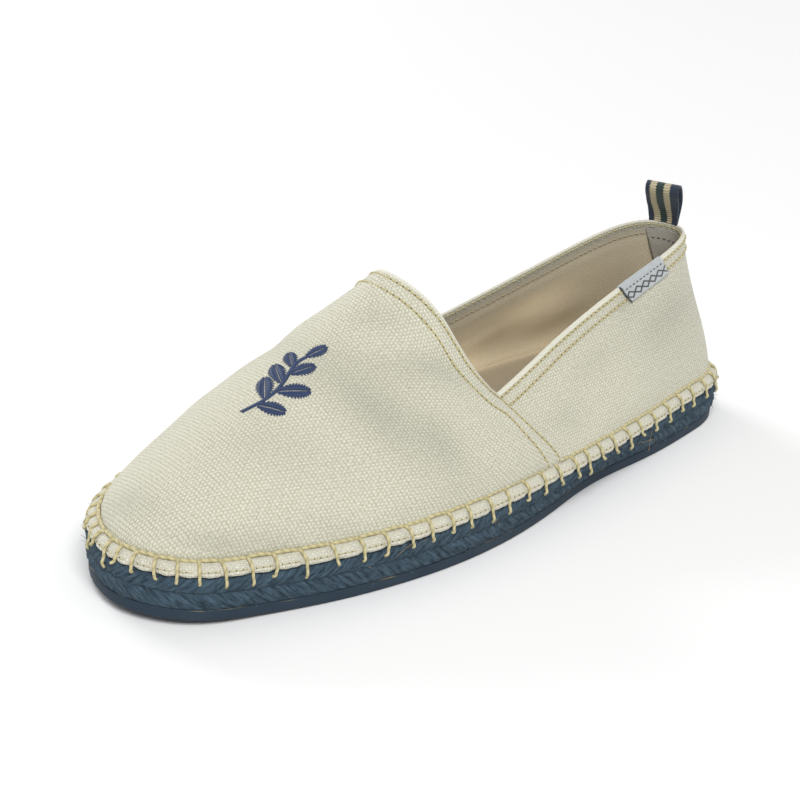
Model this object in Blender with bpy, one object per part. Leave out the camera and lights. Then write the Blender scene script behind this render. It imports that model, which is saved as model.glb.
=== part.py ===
"""Canvas espadrille on a rope sole: one right shoe, empty and unbent.

X runs across the shoe towards the inner side of the foot, Y towards the heel and Z up.
The origin lies on the floor under the middle of the sole.
Named sizes and tables are in millimetres, and mesh points are stored in metres.
"""

import bmesh
import bpy
import numpy as np

MM = 0.001
UP = np.array([0.0, 0.0, 1.0])
INNER, OUTER = 1, -1


def columns(names, rows):
    """A table as one array for each named column."""
    return {name: np.array(values) for name, values in zip(names.split(), zip(*rows))}


# Sole outline: half widths on each side of the long axis, by share of the length from the heel.
LENGTH = 285.0
TOE_TIP_X = 9.5
HEEL_BACK_X = 1.0
OUTLINE = columns("from_heel inner outer", (
    (0.03, 20.0, 17.0),
    (0.10, 27.5, 30.0),
    (0.22, 35.0, 35.0),
    (0.36, 42.5, 35.0),
    (0.48, 47.0, 38.5),
    (0.60, 50.0, 46.0),
    (0.70, 49.0, 50.0),
    (0.80, 44.5, 44.0),
    (0.89, 38.0, 32.0),
    (0.96, 30.0, 17.5),
))
TOE_SPRING = 2.8
SPRING_START_Y = -71.0
ARCH_INSET = 5.5
ARCH_Y = 48.0
ARCH_REACH = 35.0

# Sole layers: height above the floor, offset outwards from the outline, and how much of the arch is cut in.
OUTSOLE = columns("height offset arch", (
    (0.0, 0.5, 1.0),
    (0.8, 1.2, 1.0),
    (3.3, 1.2, 1.0),
    (4.0, 0.8, 1.0),
))
ROPE = columns("height offset arch strand", (
    (4.3, 0.9, 1.0, 0.0),
    (5.4, 1.6, 0.9, 0.3),
    (7.6, 2.1, 0.65, 0.6),
    (9.9, 1.6, 0.4, 0.0),
    (12.3, 2.5, 0.15, -0.6),
    (14.2, 1.9, 0.0, -0.3),
    (15.5, -0.4, 0.0, 0.0),
    (17.0, -2.4, 0.0, 0.0),
))
INSOLE = columns("height offset arch", (
    (17.3, -4.7, 0.0),
    (19.4, -4.7, 0.0),
    (19.8, -5.3, 0.0),
))
HEM_BAND = columns("height offset arch", (
    (19.1, -1.7, 0.0),
    (18.1, 0.0, 0.0),
    (16.6, 1.2, 0.0),
    (15.8, 1.4, 0.0),
    (15.3, 0.8, 0.0),
    (17.1, -1.7, 0.0),
))
ROPE_POINTS_A_SIDE = 88
LAYER_POINTS_A_SIDE = 50

# Collar: throat from its centre to the corner at the side, then topline to the back of the heel.
COLLAR_SHIFT_X = -1.5
THROAT = columns("x y z", (
    (0.0, -25.5, 83.5),
    (12.0, -18.5, 77.0),
    (22.0, -8.5, 60.0),
    (26.5, 4.5, 42.5),
))
TOPLINE = columns("x y z", (
    (26.5, 4.5, 42.5),
    (17.5, 75.0, 62.5),
    (9.5, 120.5, 72.2),
    (0.0, 127.0, 72.2),
))

# Upper: each row is one line up the canvas, from the sole to the collar. It starts at feather (share of
# the side's outline from the toe) and ends at collar (0 throat centre, 1 side corner, 2 heel back). It
# leaves the sole for rise, leaning out by flare degrees, and meets the collar over reach, dipping by dip
# degrees towards heading (0 to the toe, 90 sideways, 180 to the heel). lift is the overlap's thickness.
UPPER = columns("feather collar rise flare reach dip heading lift", (
    (0.00, 0.00, 14.0, 4.0, 45.0, 32.0, 0.0, 0.0),
    (0.17, 0.22, 9.0, 4.0, 40.0, 26.5, 12.0, 0.0),
    (0.36, 0.50, 14.5, 6.0, 26.0, 40.0, 45.0, 0.0),
    (0.50, 0.80, 13.0, 6.0, 14.0, 55.0, 75.0, 0.7),
    (0.59, 1.00, 8.0, 4.0, 8.0, 75.0, 85.0, 0.9),
    (0.74, 1.35, 13.0, 2.0, 13.0, 85.0, 90.0, 0.0),
    (0.90, 1.80, 14.5, 0.0, 15.0, 88.0, 110.0, 0.0),
    (1.00, 2.00, 15.5, 1.5, 15.0, 85.0, 180.0, 0.0),
))
TURNING_COLUMNS = ("collar", "heading")
SEAM_FEATHER = 0.59
SEAM_EDGE = 0.004
FEATHER_OFFSET = -2.1
FEATHER_HEIGHT = 19.0
UPPER_BOTTOM = 17.3
WALL = 2.0
RIM_CROWN = 0.5
VAMP_STEPS = 22
QUARTER_STEPS = 14
RISE_STEPS = 13

# Pull loop: the ribbon's middle line, behind and above the foot of the loop.
RIBBON_WIDTH = 13.5
RIBBON_THICKNESS = 1.1
RIBBON_X = -6.0
RIBBON_BACK = 125.3
RIBBON_FOOT = 73.1
RIBBON_CUP = 0.035
RIBBON_STEPS_ACROSS = 6
RIBBON_PATH = columns("back up", (
    (-0.8, 0.0),
    (-0.9, 6.0),
    (-2.6, 11.0),
    (-4.8, 14.0),
    (-4.0, 15.7),
    (-1.9, 14.9),
    (1.4, 11.0),
    (2.2, 5.5),
    (0.8, 0.0),
))

# Side label, folded over the inner topline near the heel.
LABEL_FEATHERS = (0.812, 0.884)
LABEL_DROP = 8.5
LABEL_INSIDE = 5.0
LABEL_THICKNESS = 0.6
LABEL_GAP = 0.35
LABEL_STEPS = 6


def curve_through(points, closed=False, steps=24):
    """A dense smooth curve through the points: a cubic spline on the square root of chord length."""
    points = np.asarray(points, float)
    count = len(points)
    chord = np.linalg.norm(np.roll(points, -1, 0) - points, axis=1) ** 0.6
    system = np.zeros((count, count))
    target = np.zeros_like(points)
    for i in range(count):
        after = (i + 1) % count
        if not closed and i in (0, count - 1):
            near = 1 if i == 0 else i - 1
            first = min(i, near)
            system[i, i] = 2
            system[i, near] = 1
            target[i] = 3 * (points[first + 1] - points[first]) / chord[first]
            continue
        before_chord, chord_here = chord[i - 1], chord[i]
        system[i, i - 1] += 1 / before_chord
        system[i, after] += 1 / chord_here
        system[i, i] += 2 * (1 / before_chord + 1 / chord_here)
        target[i] = 3 * (points[i] - points[i - 1]) / before_chord**2
        target[i] += 3 * (points[after] - points[i]) / chord_here**2
    tangents = np.linalg.solve(system, target)
    t = (np.arange(steps) / steps)[:, None]
    pieces = []
    for i in range(count if closed else count - 1):
        after = (i + 1) % count
        pieces.append(
            (2 * t**3 - 3 * t**2 + 1) * points[i]
            + (t**3 - 2 * t**2 + t) * chord[i] * tangents[i]
            + (3 * t**2 - 2 * t**3) * points[after]
            + (t**3 - t**2) * chord[i] * tangents[after]
        )
    if not closed:
        pieces.append(points[-1:])
    return np.vstack(pieces)


def lengths_along(curve):
    return np.append(0.0, np.cumsum(np.linalg.norm(np.diff(curve, axis=0), axis=1)))


def at_shares(curve, shares):
    """Points at these shares of the curve's length."""
    along = lengths_along(curve)
    wanted = np.asarray(shares) * along[-1]
    return np.stack([np.interp(wanted, along, axis) for axis in curve.T], axis=-1)


def read_column(table, key, name, at):
    """A column read between its rows without overshoot, level at both ends unless it is a turning column."""
    x, y = table[key], table[name]
    width = np.diff(x)
    grade = np.diff(y) / width
    slope = np.zeros_like(y)
    rising = grade[:-1] * grade[1:] > 0
    slope[1:-1][rising] = 2 * (grade[:-1] * grade[1:])[rising] / (grade[:-1] + grade[1:])[rising]
    if name in TURNING_COLUMNS:
        slope[0], slope[-1] = grade[0], grade[-1]
    i = np.clip(np.searchsorted(x, at, side="right") - 1, 0, len(x) - 2)
    t = (at - x[i]) / width[i]
    return (
        (2 * t**3 - 3 * t**2 + 1) * y[i]
        + (t**3 - 2 * t**2 + t) * width[i] * slope[i]
        + (3 * t**2 - 2 * t**3) * y[i + 1]
        + (t**3 - t**2) * width[i] * slope[i + 1]
    )


def rows_of(table, *names):
    return np.stack([table[name] for name in names], axis=1)


def sole_side(side, shares):
    """Points on one side's outline, by share of its length from the toe tip, and their outward directions."""
    y = LENGTH / 2 - OUTLINE["from_heel"] * LENGTH
    inner = np.stack([OUTLINE["inner"], y], axis=1)[::-1]
    outer = np.stack([-OUTLINE["outer"], y], axis=1)
    loop = curve_through([(TOE_TIP_X, -LENGTH / 2), *inner, (HEEL_BACK_X, LENGTH / 2), *outer], closed=True)
    along = np.roll(loop, -1, 0) - np.roll(loop, 1, 0)
    outward = np.stack([along[:, 1], -along[:, 0]], axis=1)
    outward /= np.linalg.norm(outward, axis=1)[:, None]
    both = np.hstack([loop, outward])
    heel = len(loop) // 2
    if side == INNER:
        half = both[: heel + 1]
    else:
        half = np.append(both[heel:], both[:1], axis=0)[::-1]
    lengths = lengths_along(half[:, :2])
    wanted = np.asarray(shares) * lengths[-1]
    return np.stack([np.interp(wanted, lengths, values) for values in half.T], axis=1)


def spring(y):
    """How far the toe lifts the sole off the floor at this place along it."""
    return TOE_SPRING * np.clip((SPRING_START_Y - y) / (LENGTH / 2 + SPRING_START_Y), 0, 1) ** 2


def set_out(places, offset, height):
    """The places on the outline moved outwards by offset and up to height, with the toe spring."""
    at = places[:, :2] + places[:, 2:] * np.broadcast_to(offset, len(places))[:, None]
    return np.column_stack([at, height + spring(at[:, 1])])


def sole_ring(points_a_side):
    """Places round the sole: toe tip, inner side, heel, then the outer side back to the toe."""
    shares = np.linspace(0, 1, points_a_side + 1)
    return np.vstack([sole_side(INNER, shares), sole_side(OUTER, shares)[-2:0:-1]])


def arch_inset(places):
    """How far the inner side's lower edge is cut in under the arch."""
    cut = ARCH_INSET * np.exp(-(((places[:, 1] - ARCH_Y) / ARCH_REACH) ** 2))
    return np.where(places[:, 0] > 0, cut, 0.0)


def layer_rings(layer, points_a_side):
    """Rings from a table of heights and offsets, with the rope's strands where the table has them."""
    places = sole_ring(points_a_side)
    strand = np.where(np.arange(len(places)) % 2, 1.0, -1.0)
    swing = layer.get("strand", np.zeros(len(layer["height"])))
    rows = zip(layer["height"], layer["offset"], layer["arch"], swing)
    return [
        set_out(places, offset - arch * arch_inset(places) + swing * strand, height)
        for height, offset, arch, swing in rows
    ]


def collar_curves(side):
    """The throat and the topline of one side, each a dense curve that starts at its front end."""
    mirror = np.array([-1.0, 1.0, 1.0])
    place = np.array([side, 1.0, 1.0])
    shift = np.array([COLLAR_SHIFT_X, 0.0, 0.0])
    throat = rows_of(THROAT, "x", "y", "z")
    topline = rows_of(TOPLINE, "x", "y", "z")
    whole_throat = curve_through([*(throat[:0:-1] * mirror), *throat])
    whole_topline = curve_through([*topline, *(topline[-2::-1] * mirror)])
    return (
        whole_throat[len(whole_throat) // 2 :] * place + shift,
        whole_topline[: len(whole_topline) // 2 + 1] * place + shift,
    )


def collar_at(side, places):
    """Collar points: 0 is the throat's centre, 1 the side corner and 2 the back of the heel."""
    throat, topline = collar_curves(side)
    front = at_shares(throat, np.clip(places, 0, 1))
    back = at_shares(topline, np.clip(places - 1, 0, 1))
    return np.where((places <= 1)[:, None], front, back)


def canvas_lines(side, feathers):
    """The four control points of each line up the canvas: foot, above it, below the collar, collar."""
    setting = {name: read_column(UPPER, "feather", name, feathers) for name in UPPER}
    places = sole_side(side, feathers)
    foot = set_out(places, FEATHER_OFFSET, FEATHER_HEIGHT)
    outward = np.column_stack([places[:, 2:], np.zeros(len(places))])
    flare = np.radians(setting["flare"])[:, None]
    above = foot + setting["rise"][:, None] * (UP * np.cos(flare) + outward * np.sin(flare))
    collar = collar_at(side, setting["collar"])
    heading = np.radians(setting["heading"])
    level = np.stack([side * np.sin(heading), -np.cos(heading), np.zeros(len(places))], axis=1)
    dip = np.radians(setting["dip"])[:, None]
    below = collar + setting["reach"][:, None] * (level * np.cos(dip) - UP * np.sin(dip))
    return foot, above, below, collar


def canvas_rows(side, feathers, rises):
    """Points up the canvas's outer face, one row for each feather place, before the overlap is added."""
    foot, above, below, collar = (point[:, None] for point in canvas_lines(side, feathers))
    t = np.asarray(rises)[None, :, None]
    return foot * (1 - t) ** 3 + 3 * above * t * (1 - t) ** 2 + 3 * below * t**2 * (1 - t) + collar * t**3


def unit(vectors):
    return vectors / np.linalg.norm(vectors, axis=-1, keepdims=True)


def outward_of(grid, closed):
    """Outward directions of a grid whose first axis runs from the toe down the inner side."""
    if closed:
        round_foot = np.roll(grid, -1, 0) - np.roll(grid, 1, 0)
    else:
        round_foot = np.gradient(grid, axis=0)
    return unit(np.cross(round_foot, np.gradient(grid, axis=1)))


def upper_stations():
    """Feather places of one side, with the vamp's rear edge just ahead of the seam."""
    vamp = np.linspace(0, SEAM_FEATHER - SEAM_EDGE, VAMP_STEPS + 1)
    quarter = np.linspace(SEAM_FEATHER, 1, QUARTER_STEPS + 1)
    return np.append(vamp, quarter)


def upper_section_rings():
    """The upper as rings across its wall, one for each station round the foot."""
    stations = upper_stations()
    rises = np.linspace(0, 1, RISE_STEPS + 1)
    inner = canvas_rows(INNER, stations, rises)
    outer = canvas_rows(OUTER, stations, rises)
    grid = np.vstack([inner, outer[-2:0:-1]])
    feathers = np.append(stations, stations[-2:0:-1])
    outward = outward_of(grid, closed=True)
    lift = np.where(feathers < SEAM_FEATHER, read_column(UPPER, "feather", "lift", feathers), 0.0)
    above_foot = np.minimum(rises * RISE_STEPS, 1.0)
    outside = grid + outward * (lift[:, None] * above_foot)[..., None]
    inside = grid - outward * WALL
    inside[:, 0, 2] = grid[:, 0, 2]
    outside_foot = outside[:, :1].copy()
    inside_foot = inside[:, :1].copy()
    drop = FEATHER_HEIGHT - UPPER_BOTTOM
    outside_foot[..., 2] -= drop
    inside_foot[..., 2] -= drop
    up_canvas = unit(grid[:, -1] - grid[:, -2])
    crown = (outside[:, -1] + inside[:, -1]) / 2 + up_canvas * RIM_CROWN
    return np.concatenate([outside_foot, outside, crown[:, None], inside[:, ::-1], inside_foot], axis=1)


def ribbon_rings():
    """The pull loop as rings round the ribbon's section, from one selvedge to the other."""
    middle = curve_through(rows_of(RIBBON_PATH, "back", "up"), steps=3)
    along = unit(np.gradient(middle, axis=0))
    across = np.stack([along[:, 1], -along[:, 0]], axis=1) * RIBBON_THICKNESS / 2
    section = np.vstack([middle + across, (middle - across)[::-1]])
    top = RIBBON_PATH["up"].max()
    rings = []
    for x in np.linspace(-RIBBON_WIDTH / 2, RIBBON_WIDTH / 2, RIBBON_STEPS_ACROSS + 1):
        cup = RIBBON_CUP * x**2 * (1 - 0.6 * np.clip(section[:, 1] / top, 0, 1))
        rings.append(np.column_stack([
            np.full(len(section), RIBBON_X + x),
            RIBBON_BACK + section[:, 0] - cup,
            RIBBON_FOOT + section[:, 1],
        ]))
    return rings


def label_rings():
    """The label as rings round its section, from its front end to its rear end."""
    feathers = np.linspace(*LABEL_FEATHERS, LABEL_STEPS + 1)
    rises = np.linspace(0, 1, 61)
    grid = canvas_rows(INNER, feathers, rises)
    outward = outward_of(grid, closed=False)
    rings = []
    for line, out in zip(grid, outward):
        depth = lengths_along(line[::-1])[::-1]
        up_canvas = unit(line[-1] - line[-2])
        rim = line[-1] - out[-1] * WALL / 2

        def face(drop, away):
            point = np.array([np.interp(-drop, -depth, axis) for axis in line.T])
            normal = unit(np.array([np.interp(-drop, -depth, axis) for axis in out.T]))
            return point + normal * away

        def fold(gap):
            side_gap = WALL / 2 + gap
            return [
                *(face(drop, gap) for drop in np.linspace(LABEL_DROP, 0.0, 5)),
                rim + out[-1] * side_gap * 0.6 + up_canvas * (RIM_CROWN + gap * 0.9),
                rim + up_canvas * (RIM_CROWN + gap),
                rim - out[-1] * side_gap * 0.6 + up_canvas * (RIM_CROWN + gap * 0.9),
                *(face(drop, -WALL - gap) for drop in np.linspace(0.0, LABEL_INSIDE, 4)),
            ]

        near = fold(LABEL_GAP)
        far = fold(LABEL_GAP + LABEL_THICKNESS)
        rings.append(np.array([*far, *near[::-1]]))
    return rings


def material(name, red, green, blue, roughness):
    made = bpy.data.materials.new(name)
    made.use_nodes = True
    shader = made.node_tree.nodes["Principled BSDF"]
    shader.inputs["Base Color"].default_value = (red, green, blue, 1.0)
    shader.inputs["Roughness"].default_value = roughness
    shader.inputs["Metallic"].default_value = 0.0
    return made


def add_rings(mesh, rings):
    """Joins neighbouring rings with four-sided faces and returns each ring's points."""
    points = [[mesh.verts.new(point * MM) for point in ring] for ring in rings]
    for first, second in zip(points, points[1:]):
        for k in range(len(first)):
            after = (k + 1) % len(first)
            mesh.faces.new((first[k], first[after], second[after], second[k]))
    return points


def close_across(mesh, ring):
    """Closes a ring round the sole with strips from its inner side to its outer side."""
    half = len(ring) // 2
    mesh.faces.new((ring[0], ring[1], ring[-1]))
    for k in range(1, half - 1):
        mesh.faces.new((ring[k], ring[k + 1], ring[-k - 1], ring[-k]))
    mesh.faces.new((ring[half - 1], ring[half], ring[half + 1]))


def finish(name, mesh, surface):
    bmesh.ops.recalc_face_normals(mesh, faces=mesh.faces)
    data = bpy.data.meshes.new(name)
    mesh.to_mesh(data)
    mesh.free()
    data.shade_smooth()
    data.set_sharp_from_angle(angle=np.radians(40))
    data.materials.append(surface)
    made = bpy.data.objects.new(name, data)
    bpy.context.scene.collection.objects.link(made)
    return made


def add_layer(name, layer, points_a_side, surface):
    """A solid sheet of the sole, closed below its first ring and above its last."""
    mesh = bmesh.new()
    points = add_rings(mesh, layer_rings(layer, points_a_side))
    close_across(mesh, points[0])
    close_across(mesh, points[-1])
    return finish(name, mesh, surface)


def add_hoop(name, rings, surface):
    """A solid whose rings go right round and meet again."""
    mesh = bmesh.new()
    points = add_rings(mesh, rings)
    first, last = points[0], points[-1]
    for k in range(len(first)):
        after = (k + 1) % len(first)
        mesh.faces.new((last[k], last[after], first[after], first[k]))
    return finish(name, mesh, surface)


def add_strip(name, rings, surface):
    """A thin folded sheet: each ring is its section, and the two end sections are closed in strips."""
    mesh = bmesh.new()
    points = add_rings(mesh, rings)
    for end in (points[0], points[-1]):
        for k in range(len(end) // 2 - 1):
            mesh.faces.new((end[k], end[k + 1], end[-k - 2], end[-k - 1]))
    return finish(name, mesh, surface)


def build():
    for old in list(bpy.data.objects):
        bpy.data.objects.remove(old, do_unlink=True)
    canvas = material("cream_duck_canvas", 0.66, 0.64, 0.54, 0.85)
    folded_canvas = material("pale_folded_canvas", 0.80, 0.77, 0.66, 0.85)
    add_layer("outsole", OUTSOLE, LAYER_POINTS_A_SIDE, material("slate_rubber", 0.040, 0.055, 0.070, 0.6))
    add_layer("rope_sole", ROPE, ROPE_POINTS_A_SIDE, material("navy_jute", 0.045, 0.080, 0.135, 0.95))
    add_layer("insole", INSOLE, LAYER_POINTS_A_SIDE, material("beige_twill", 0.42, 0.36, 0.27, 0.9))
    band = np.stack(layer_rings(HEM_BAND, LAYER_POINTS_A_SIDE), axis=1)
    add_hoop("hem_band", band, folded_canvas)
    add_hoop("upper", upper_section_rings(), canvas)
    add_strip("pull_loop", ribbon_rings(), material("navy_grosgrain", 0.020, 0.036, 0.075, 0.8))
    add_strip("side_label", label_rings(), material("silver_satin", 0.60, 0.62, 0.66, 0.35))


build()
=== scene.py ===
"""Looks of a canvas espadrille on a rope sole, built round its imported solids.

X runs across the shoe towards the inner side of the foot, Y towards the heel and Z up.
Named sizes and tables are in millimetres, as in the solids' source, and meshes are in metres.
"""

import math
from functools import lru_cache

import bmesh
import bpy
import numpy as np
from bpy.props import FloatProperty, FloatVectorProperty, IntProperty, PointerProperty
from mathutils import Matrix, Vector


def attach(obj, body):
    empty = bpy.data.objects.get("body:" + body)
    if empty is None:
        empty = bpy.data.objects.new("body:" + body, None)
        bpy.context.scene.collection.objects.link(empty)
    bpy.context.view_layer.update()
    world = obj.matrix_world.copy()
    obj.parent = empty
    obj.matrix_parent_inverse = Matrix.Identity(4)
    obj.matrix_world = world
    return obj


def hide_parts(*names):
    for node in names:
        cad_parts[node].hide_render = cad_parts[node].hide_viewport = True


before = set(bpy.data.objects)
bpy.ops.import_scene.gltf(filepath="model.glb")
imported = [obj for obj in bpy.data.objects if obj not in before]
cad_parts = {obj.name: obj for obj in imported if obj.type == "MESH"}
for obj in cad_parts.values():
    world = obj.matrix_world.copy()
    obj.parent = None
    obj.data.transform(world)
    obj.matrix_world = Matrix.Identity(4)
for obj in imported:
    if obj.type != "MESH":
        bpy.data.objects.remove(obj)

bl_info = {
    "name": "Canvas espadrille",
    "version": (1, 0, 0),
    "blender": (4, 5, 0),
    "location": "3D View > Sidebar > Espadrille",
    "description": "Builds a canvas espadrille on a braided rope sole, piece by piece",
    "category": "Mesh",
}

MM = 0.001
UP = np.array([0.0, 0.0, 1.0])
INNER, OUTER = 1, -1


def columns(names, rows):
    """A table as one array for each named column."""
    return {name: np.array(values) for name, values in zip(names.split(), zip(*rows))}


# ---------------------------------------------------------------- sizes that the solids share

LENGTH = 285.0
TOE_TIP_X = 9.5
HEEL_BACK_X = 1.0
OUTLINE = columns("from_heel inner outer", (
    (0.03, 20.0, 17.0),
    (0.10, 27.5, 30.0),
    (0.22, 35.0, 35.0),
    (0.36, 42.5, 35.0),
    (0.48, 47.0, 38.5),
    (0.60, 50.0, 46.0),
    (0.70, 49.0, 50.0),
    (0.80, 44.5, 44.0),
    (0.89, 38.0, 32.0),
    (0.96, 30.0, 17.5),
))
TOE_SPRING = 2.8
SPRING_START_Y = -71.0
ARCH_INSET = 5.5
ARCH_Y = 48.0
ARCH_REACH = 35.0

COLLAR_SHIFT_X = -1.5
THROAT = columns("x y z", (
    (0.0, -25.5, 83.5),
    (12.0, -18.5, 77.0),
    (22.0, -8.5, 60.0),
    (26.5, 4.5, 42.5),
))
TOPLINE = columns("x y z", (
    (26.5, 4.5, 42.5),
    (17.5, 75.0, 62.5),
    (9.5, 120.5, 72.2),
    (0.0, 127.0, 72.2),
))
UPPER = columns("feather collar rise flare reach dip heading lift", (
    (0.00, 0.00, 14.0, 4.0, 45.0, 32.0, 0.0, 0.0),
    (0.17, 0.22, 9.0, 4.0, 40.0, 26.5, 12.0, 0.0),
    (0.36, 0.50, 14.5, 6.0, 26.0, 40.0, 45.0, 0.0),
    (0.50, 0.80, 13.0, 6.0, 14.0, 55.0, 75.0, 0.7),
    (0.59, 1.00, 8.0, 4.0, 8.0, 75.0, 85.0, 0.9),
    (0.74, 1.35, 13.0, 2.0, 13.0, 85.0, 90.0, 0.0),
    (0.90, 1.80, 14.5, 0.0, 15.0, 88.0, 110.0, 0.0),
    (1.00, 2.00, 15.5, 1.5, 15.0, 85.0, 180.0, 0.0),
))
TURNING_COLUMNS = ("collar", "heading")
SEAM_FEATHER = 0.59
# Below the rim the vamp's edge runs ahead of its side line, and the throat is scooped before the corner.
SEAM_AHEAD = columns("depth ahead", (
    (0.0, 0.0),
    (8.0, 2.6),
    (13.0, 5.5),
    (18.0, 8.0),
    (26.0, 8.6),
    (34.0, 7.6),
    (42.0, 6.6),
    (60.0, 6.4),
))
SEAM_SWAY = 32.0
THROAT_SCOOP = columns("collar inner outer", (
    (0.0, 0.3, 0.3),
    (0.4, 0.5, 0.5),
    (0.65, 2.8, 2.8),
    (0.77, 4.1, 4.1),
    (0.86, 4.2, 4.2),
    (0.95, 2.6, 2.6),
    (1.0, 1.5, 1.5),
    (1.06, 1.6, 0.6),
    (1.15, 1.5, 0.0),
    (1.3, 0.9, 0.0),
    (1.45, 0.8, 0.0),
    (1.8, 0.8, 0.2),
    (2.0, 0.7, 0.7),
))
FEATHER_OFFSET = -2.1
FEATHER_HEIGHT = 19.0
UPPER_BOTTOM = 17.3
WALL = 2.0
RIM_WALL = 0.5
FULL_WALL_DEPTH = 9

# ---------------------------------------------------------------- sizes of the finer forms

# Sole layers: height above the floor, offset outwards, and how much of the arch is cut in.
RUBBER = columns("height offset arch", (
    (0.0, -0.6, 1.0),
    (0.0, 0.4, 1.0),
    (0.35, 0.95, 1.0),
    (0.9, 1.2, 1.0),
    (3.2, 1.25, 1.0),
    (3.8, 1.15, 1.0),
    (4.08, 0.85, 1.0),
    (4.1, -2.0, 1.0),
))
ROPE = columns("height offset arch", (
    (4.12, -1.5, 1.0),
    (4.15, 0.95, 1.0),
    (5.0, 1.45, 0.95),
    (7.4, 1.9, 0.65),
    (9.8, 1.75, 0.4),
    (12.3, 2.2, 0.15),
    (14.2, 1.9, 0.0),
    (15.5, -0.2, 0.0),
    (17.0, -2.4, 0.0),
    (17.1, -5.0, 0.0),
))
ROPE_WAIST = 9.8
BAND = columns("height offset", (
    (19.0, -2.1),
    (18.95, -0.6),
    (18.2, 0.6),
    (17.0, 1.45),
    (15.9, 1.7),
    (15.35, 1.1),
    (15.9, 0.0),
    (17.0, -1.9),
))
INSOLE = columns("height offset", (
    (17.3, -4.9),
    (19.2, -4.7),
    (19.65, -4.95),
    (19.8, -5.6),
    (19.85, -9.0),
    (19.6, -16.0),
))

# Blanket stitch: spacing of its knots along each side, by place along the shoe.
KNOT_SPACING = columns("y spacing", (
    (-142.5, 6.6),
    (-130.0, 7.4),
    (-112.0, 9.4),
    (-95.0, 10.2),
    (-60.0, 8.9),
    (-20.0, 9.6),
    (30.0, 8.6),
    (80.0, 10.3),
    (142.5, 9.6),
))
FIRST_KNOT = 0.8
LAST_KNOT_SHARE = 0.6
KNOT_UNEVENNESS = (0.92, 1.08)

# The pull loop: its ribbon, how much it is gathered where it is sewn in and how high that reaches, where its
# foot stands, how far it is turned, the rim's part that it is sewn to, and its line seen from the side.
RIBBON_WIDTH = 12.5
RIBBON_THICKNESS = 0.8
RIBBON_GATHER = 0.14
RIBBON_X = -5.3
RIBBON_BACK = 123.6
RIBBON_FOOT = 72.7
RIBBON_TURN = 25.0
RIBBON_RISE = 9.0
RIM_BEHIND_Y = 100
RIBBON_PATH = columns("back up", (
    (-0.75, -0.8),
    (-0.7, 1.0),
    (-1.6, 5.0),
    (-4.4, 9.8),
    (-7.2, 13.2),
    (-7.6, 15.4),
    (-5.2, 16.1),
    (-0.2, 12.6),
    (2.4, 6.6),
    (0.8, 1.4),
    (0.1, -0.8),
))

# The label: its place along the rim and how it slants, its tails outside and inside, and its woven lozenges.
LABEL_FEATHERS = (0.815, 0.881)
LABEL_SLANT = 0.0014
LABEL_DROP = 7.3
LABEL_INSIDE = 5.0
LABEL_THICKNESS = 0.4
LABEL_GAP = 0.1
LOZENGE_LENGTH = 4.4
LOZENGE_HEIGHT = 3.4
LOZENGE_MIDDLE = 3.1
INSIDE_LAYERS = 0.45


# ---------------------------------------------------------------- curves and the last's surface


CHORD_POWER = 0.6


def cubic(t, start, end, leaving, arriving):
    """Values at shares of the way from start to end, with the slopes that it leaves and arrives at."""
    return (
        (2 * t**3 - 3 * t**2 + 1) * start
        + (t**3 - 2 * t**2 + t) * leaving
        + (3 * t**2 - 2 * t**3) * end
        + (t**3 - t**2) * arriving
    )


def curve_through(points, closed=False, steps=24):
    """A dense smooth curve through the points: a cubic spline on a power of the chords' lengths."""
    points = np.asarray(points, float)
    count = len(points)
    chord = np.linalg.norm(np.roll(points, -1, 0) - points, axis=1) ** CHORD_POWER
    system = np.zeros((count, count))
    target = np.zeros_like(points)
    for i in range(count):
        after = (i + 1) % count
        if not closed and i in (0, count - 1):
            near = 1 if i == 0 else i - 1
            first = min(i, near)
            system[i, i] = 2
            system[i, near] = 1
            target[i] = 3 * (points[first + 1] - points[first]) / chord[first]
            continue
        before_chord, chord_here = chord[i - 1], chord[i]
        system[i, i - 1] += 1 / before_chord
        system[i, after] += 1 / chord_here
        system[i, i] += 2 * (1 / before_chord + 1 / chord_here)
        target[i] = 3 * (points[i] - points[i - 1]) / before_chord**2
        target[i] += 3 * (points[after] - points[i]) / chord_here**2
    tangents = np.linalg.solve(system, target)
    t = (np.arange(steps) / steps)[:, None]
    pieces = []
    for i in range(count if closed else count - 1):
        after = (i + 1) % count
        pieces.append(cubic(t, points[i], points[after], chord[i] * tangents[i], chord[i] * tangents[after]))
    if not closed:
        pieces.append(points[-1:])
    return np.vstack(pieces)


def lengths_along(curve):
    return np.append(0.0, np.cumsum(np.linalg.norm(np.diff(curve, axis=0), axis=1)))


def read_between(wanted, known, values):
    """Rows of values, given at known ascending places, read between them at the wanted ones."""
    return np.stack([np.interp(wanted, known, column) for column in values.T], axis=-1)


def at_shares(curve, shares):
    """Points at these shares of the curve's length."""
    along = lengths_along(curve)
    return read_between(np.asarray(shares) * along[-1], along, curve)


def read_column(table, key, name, at):
    """A column read between its rows without overshoot, level at both ends unless it is a turning column."""
    x, y = table[key], table[name]
    width = np.diff(x)
    grade = np.diff(y) / width
    slope = np.zeros_like(y)
    rising = grade[:-1] * grade[1:] > 0
    slope[1:-1][rising] = 2 * (grade[:-1] * grade[1:])[rising] / (grade[:-1] + grade[1:])[rising]
    if name in TURNING_COLUMNS:
        slope[0], slope[-1] = grade[0], grade[-1]
    i = np.clip(np.searchsorted(x, at, side="right") - 1, 0, len(x) - 2)
    t = (at - x[i]) / width[i]
    return cubic(t, y[i], y[i + 1], width[i] * slope[i], width[i] * slope[i + 1])


def rows_of(table, *names):
    return np.stack([table[name] for name in names], axis=1)


def unit(vectors):
    return vectors / np.maximum(np.linalg.norm(vectors, axis=-1, keepdims=True), 1e-12)


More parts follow.
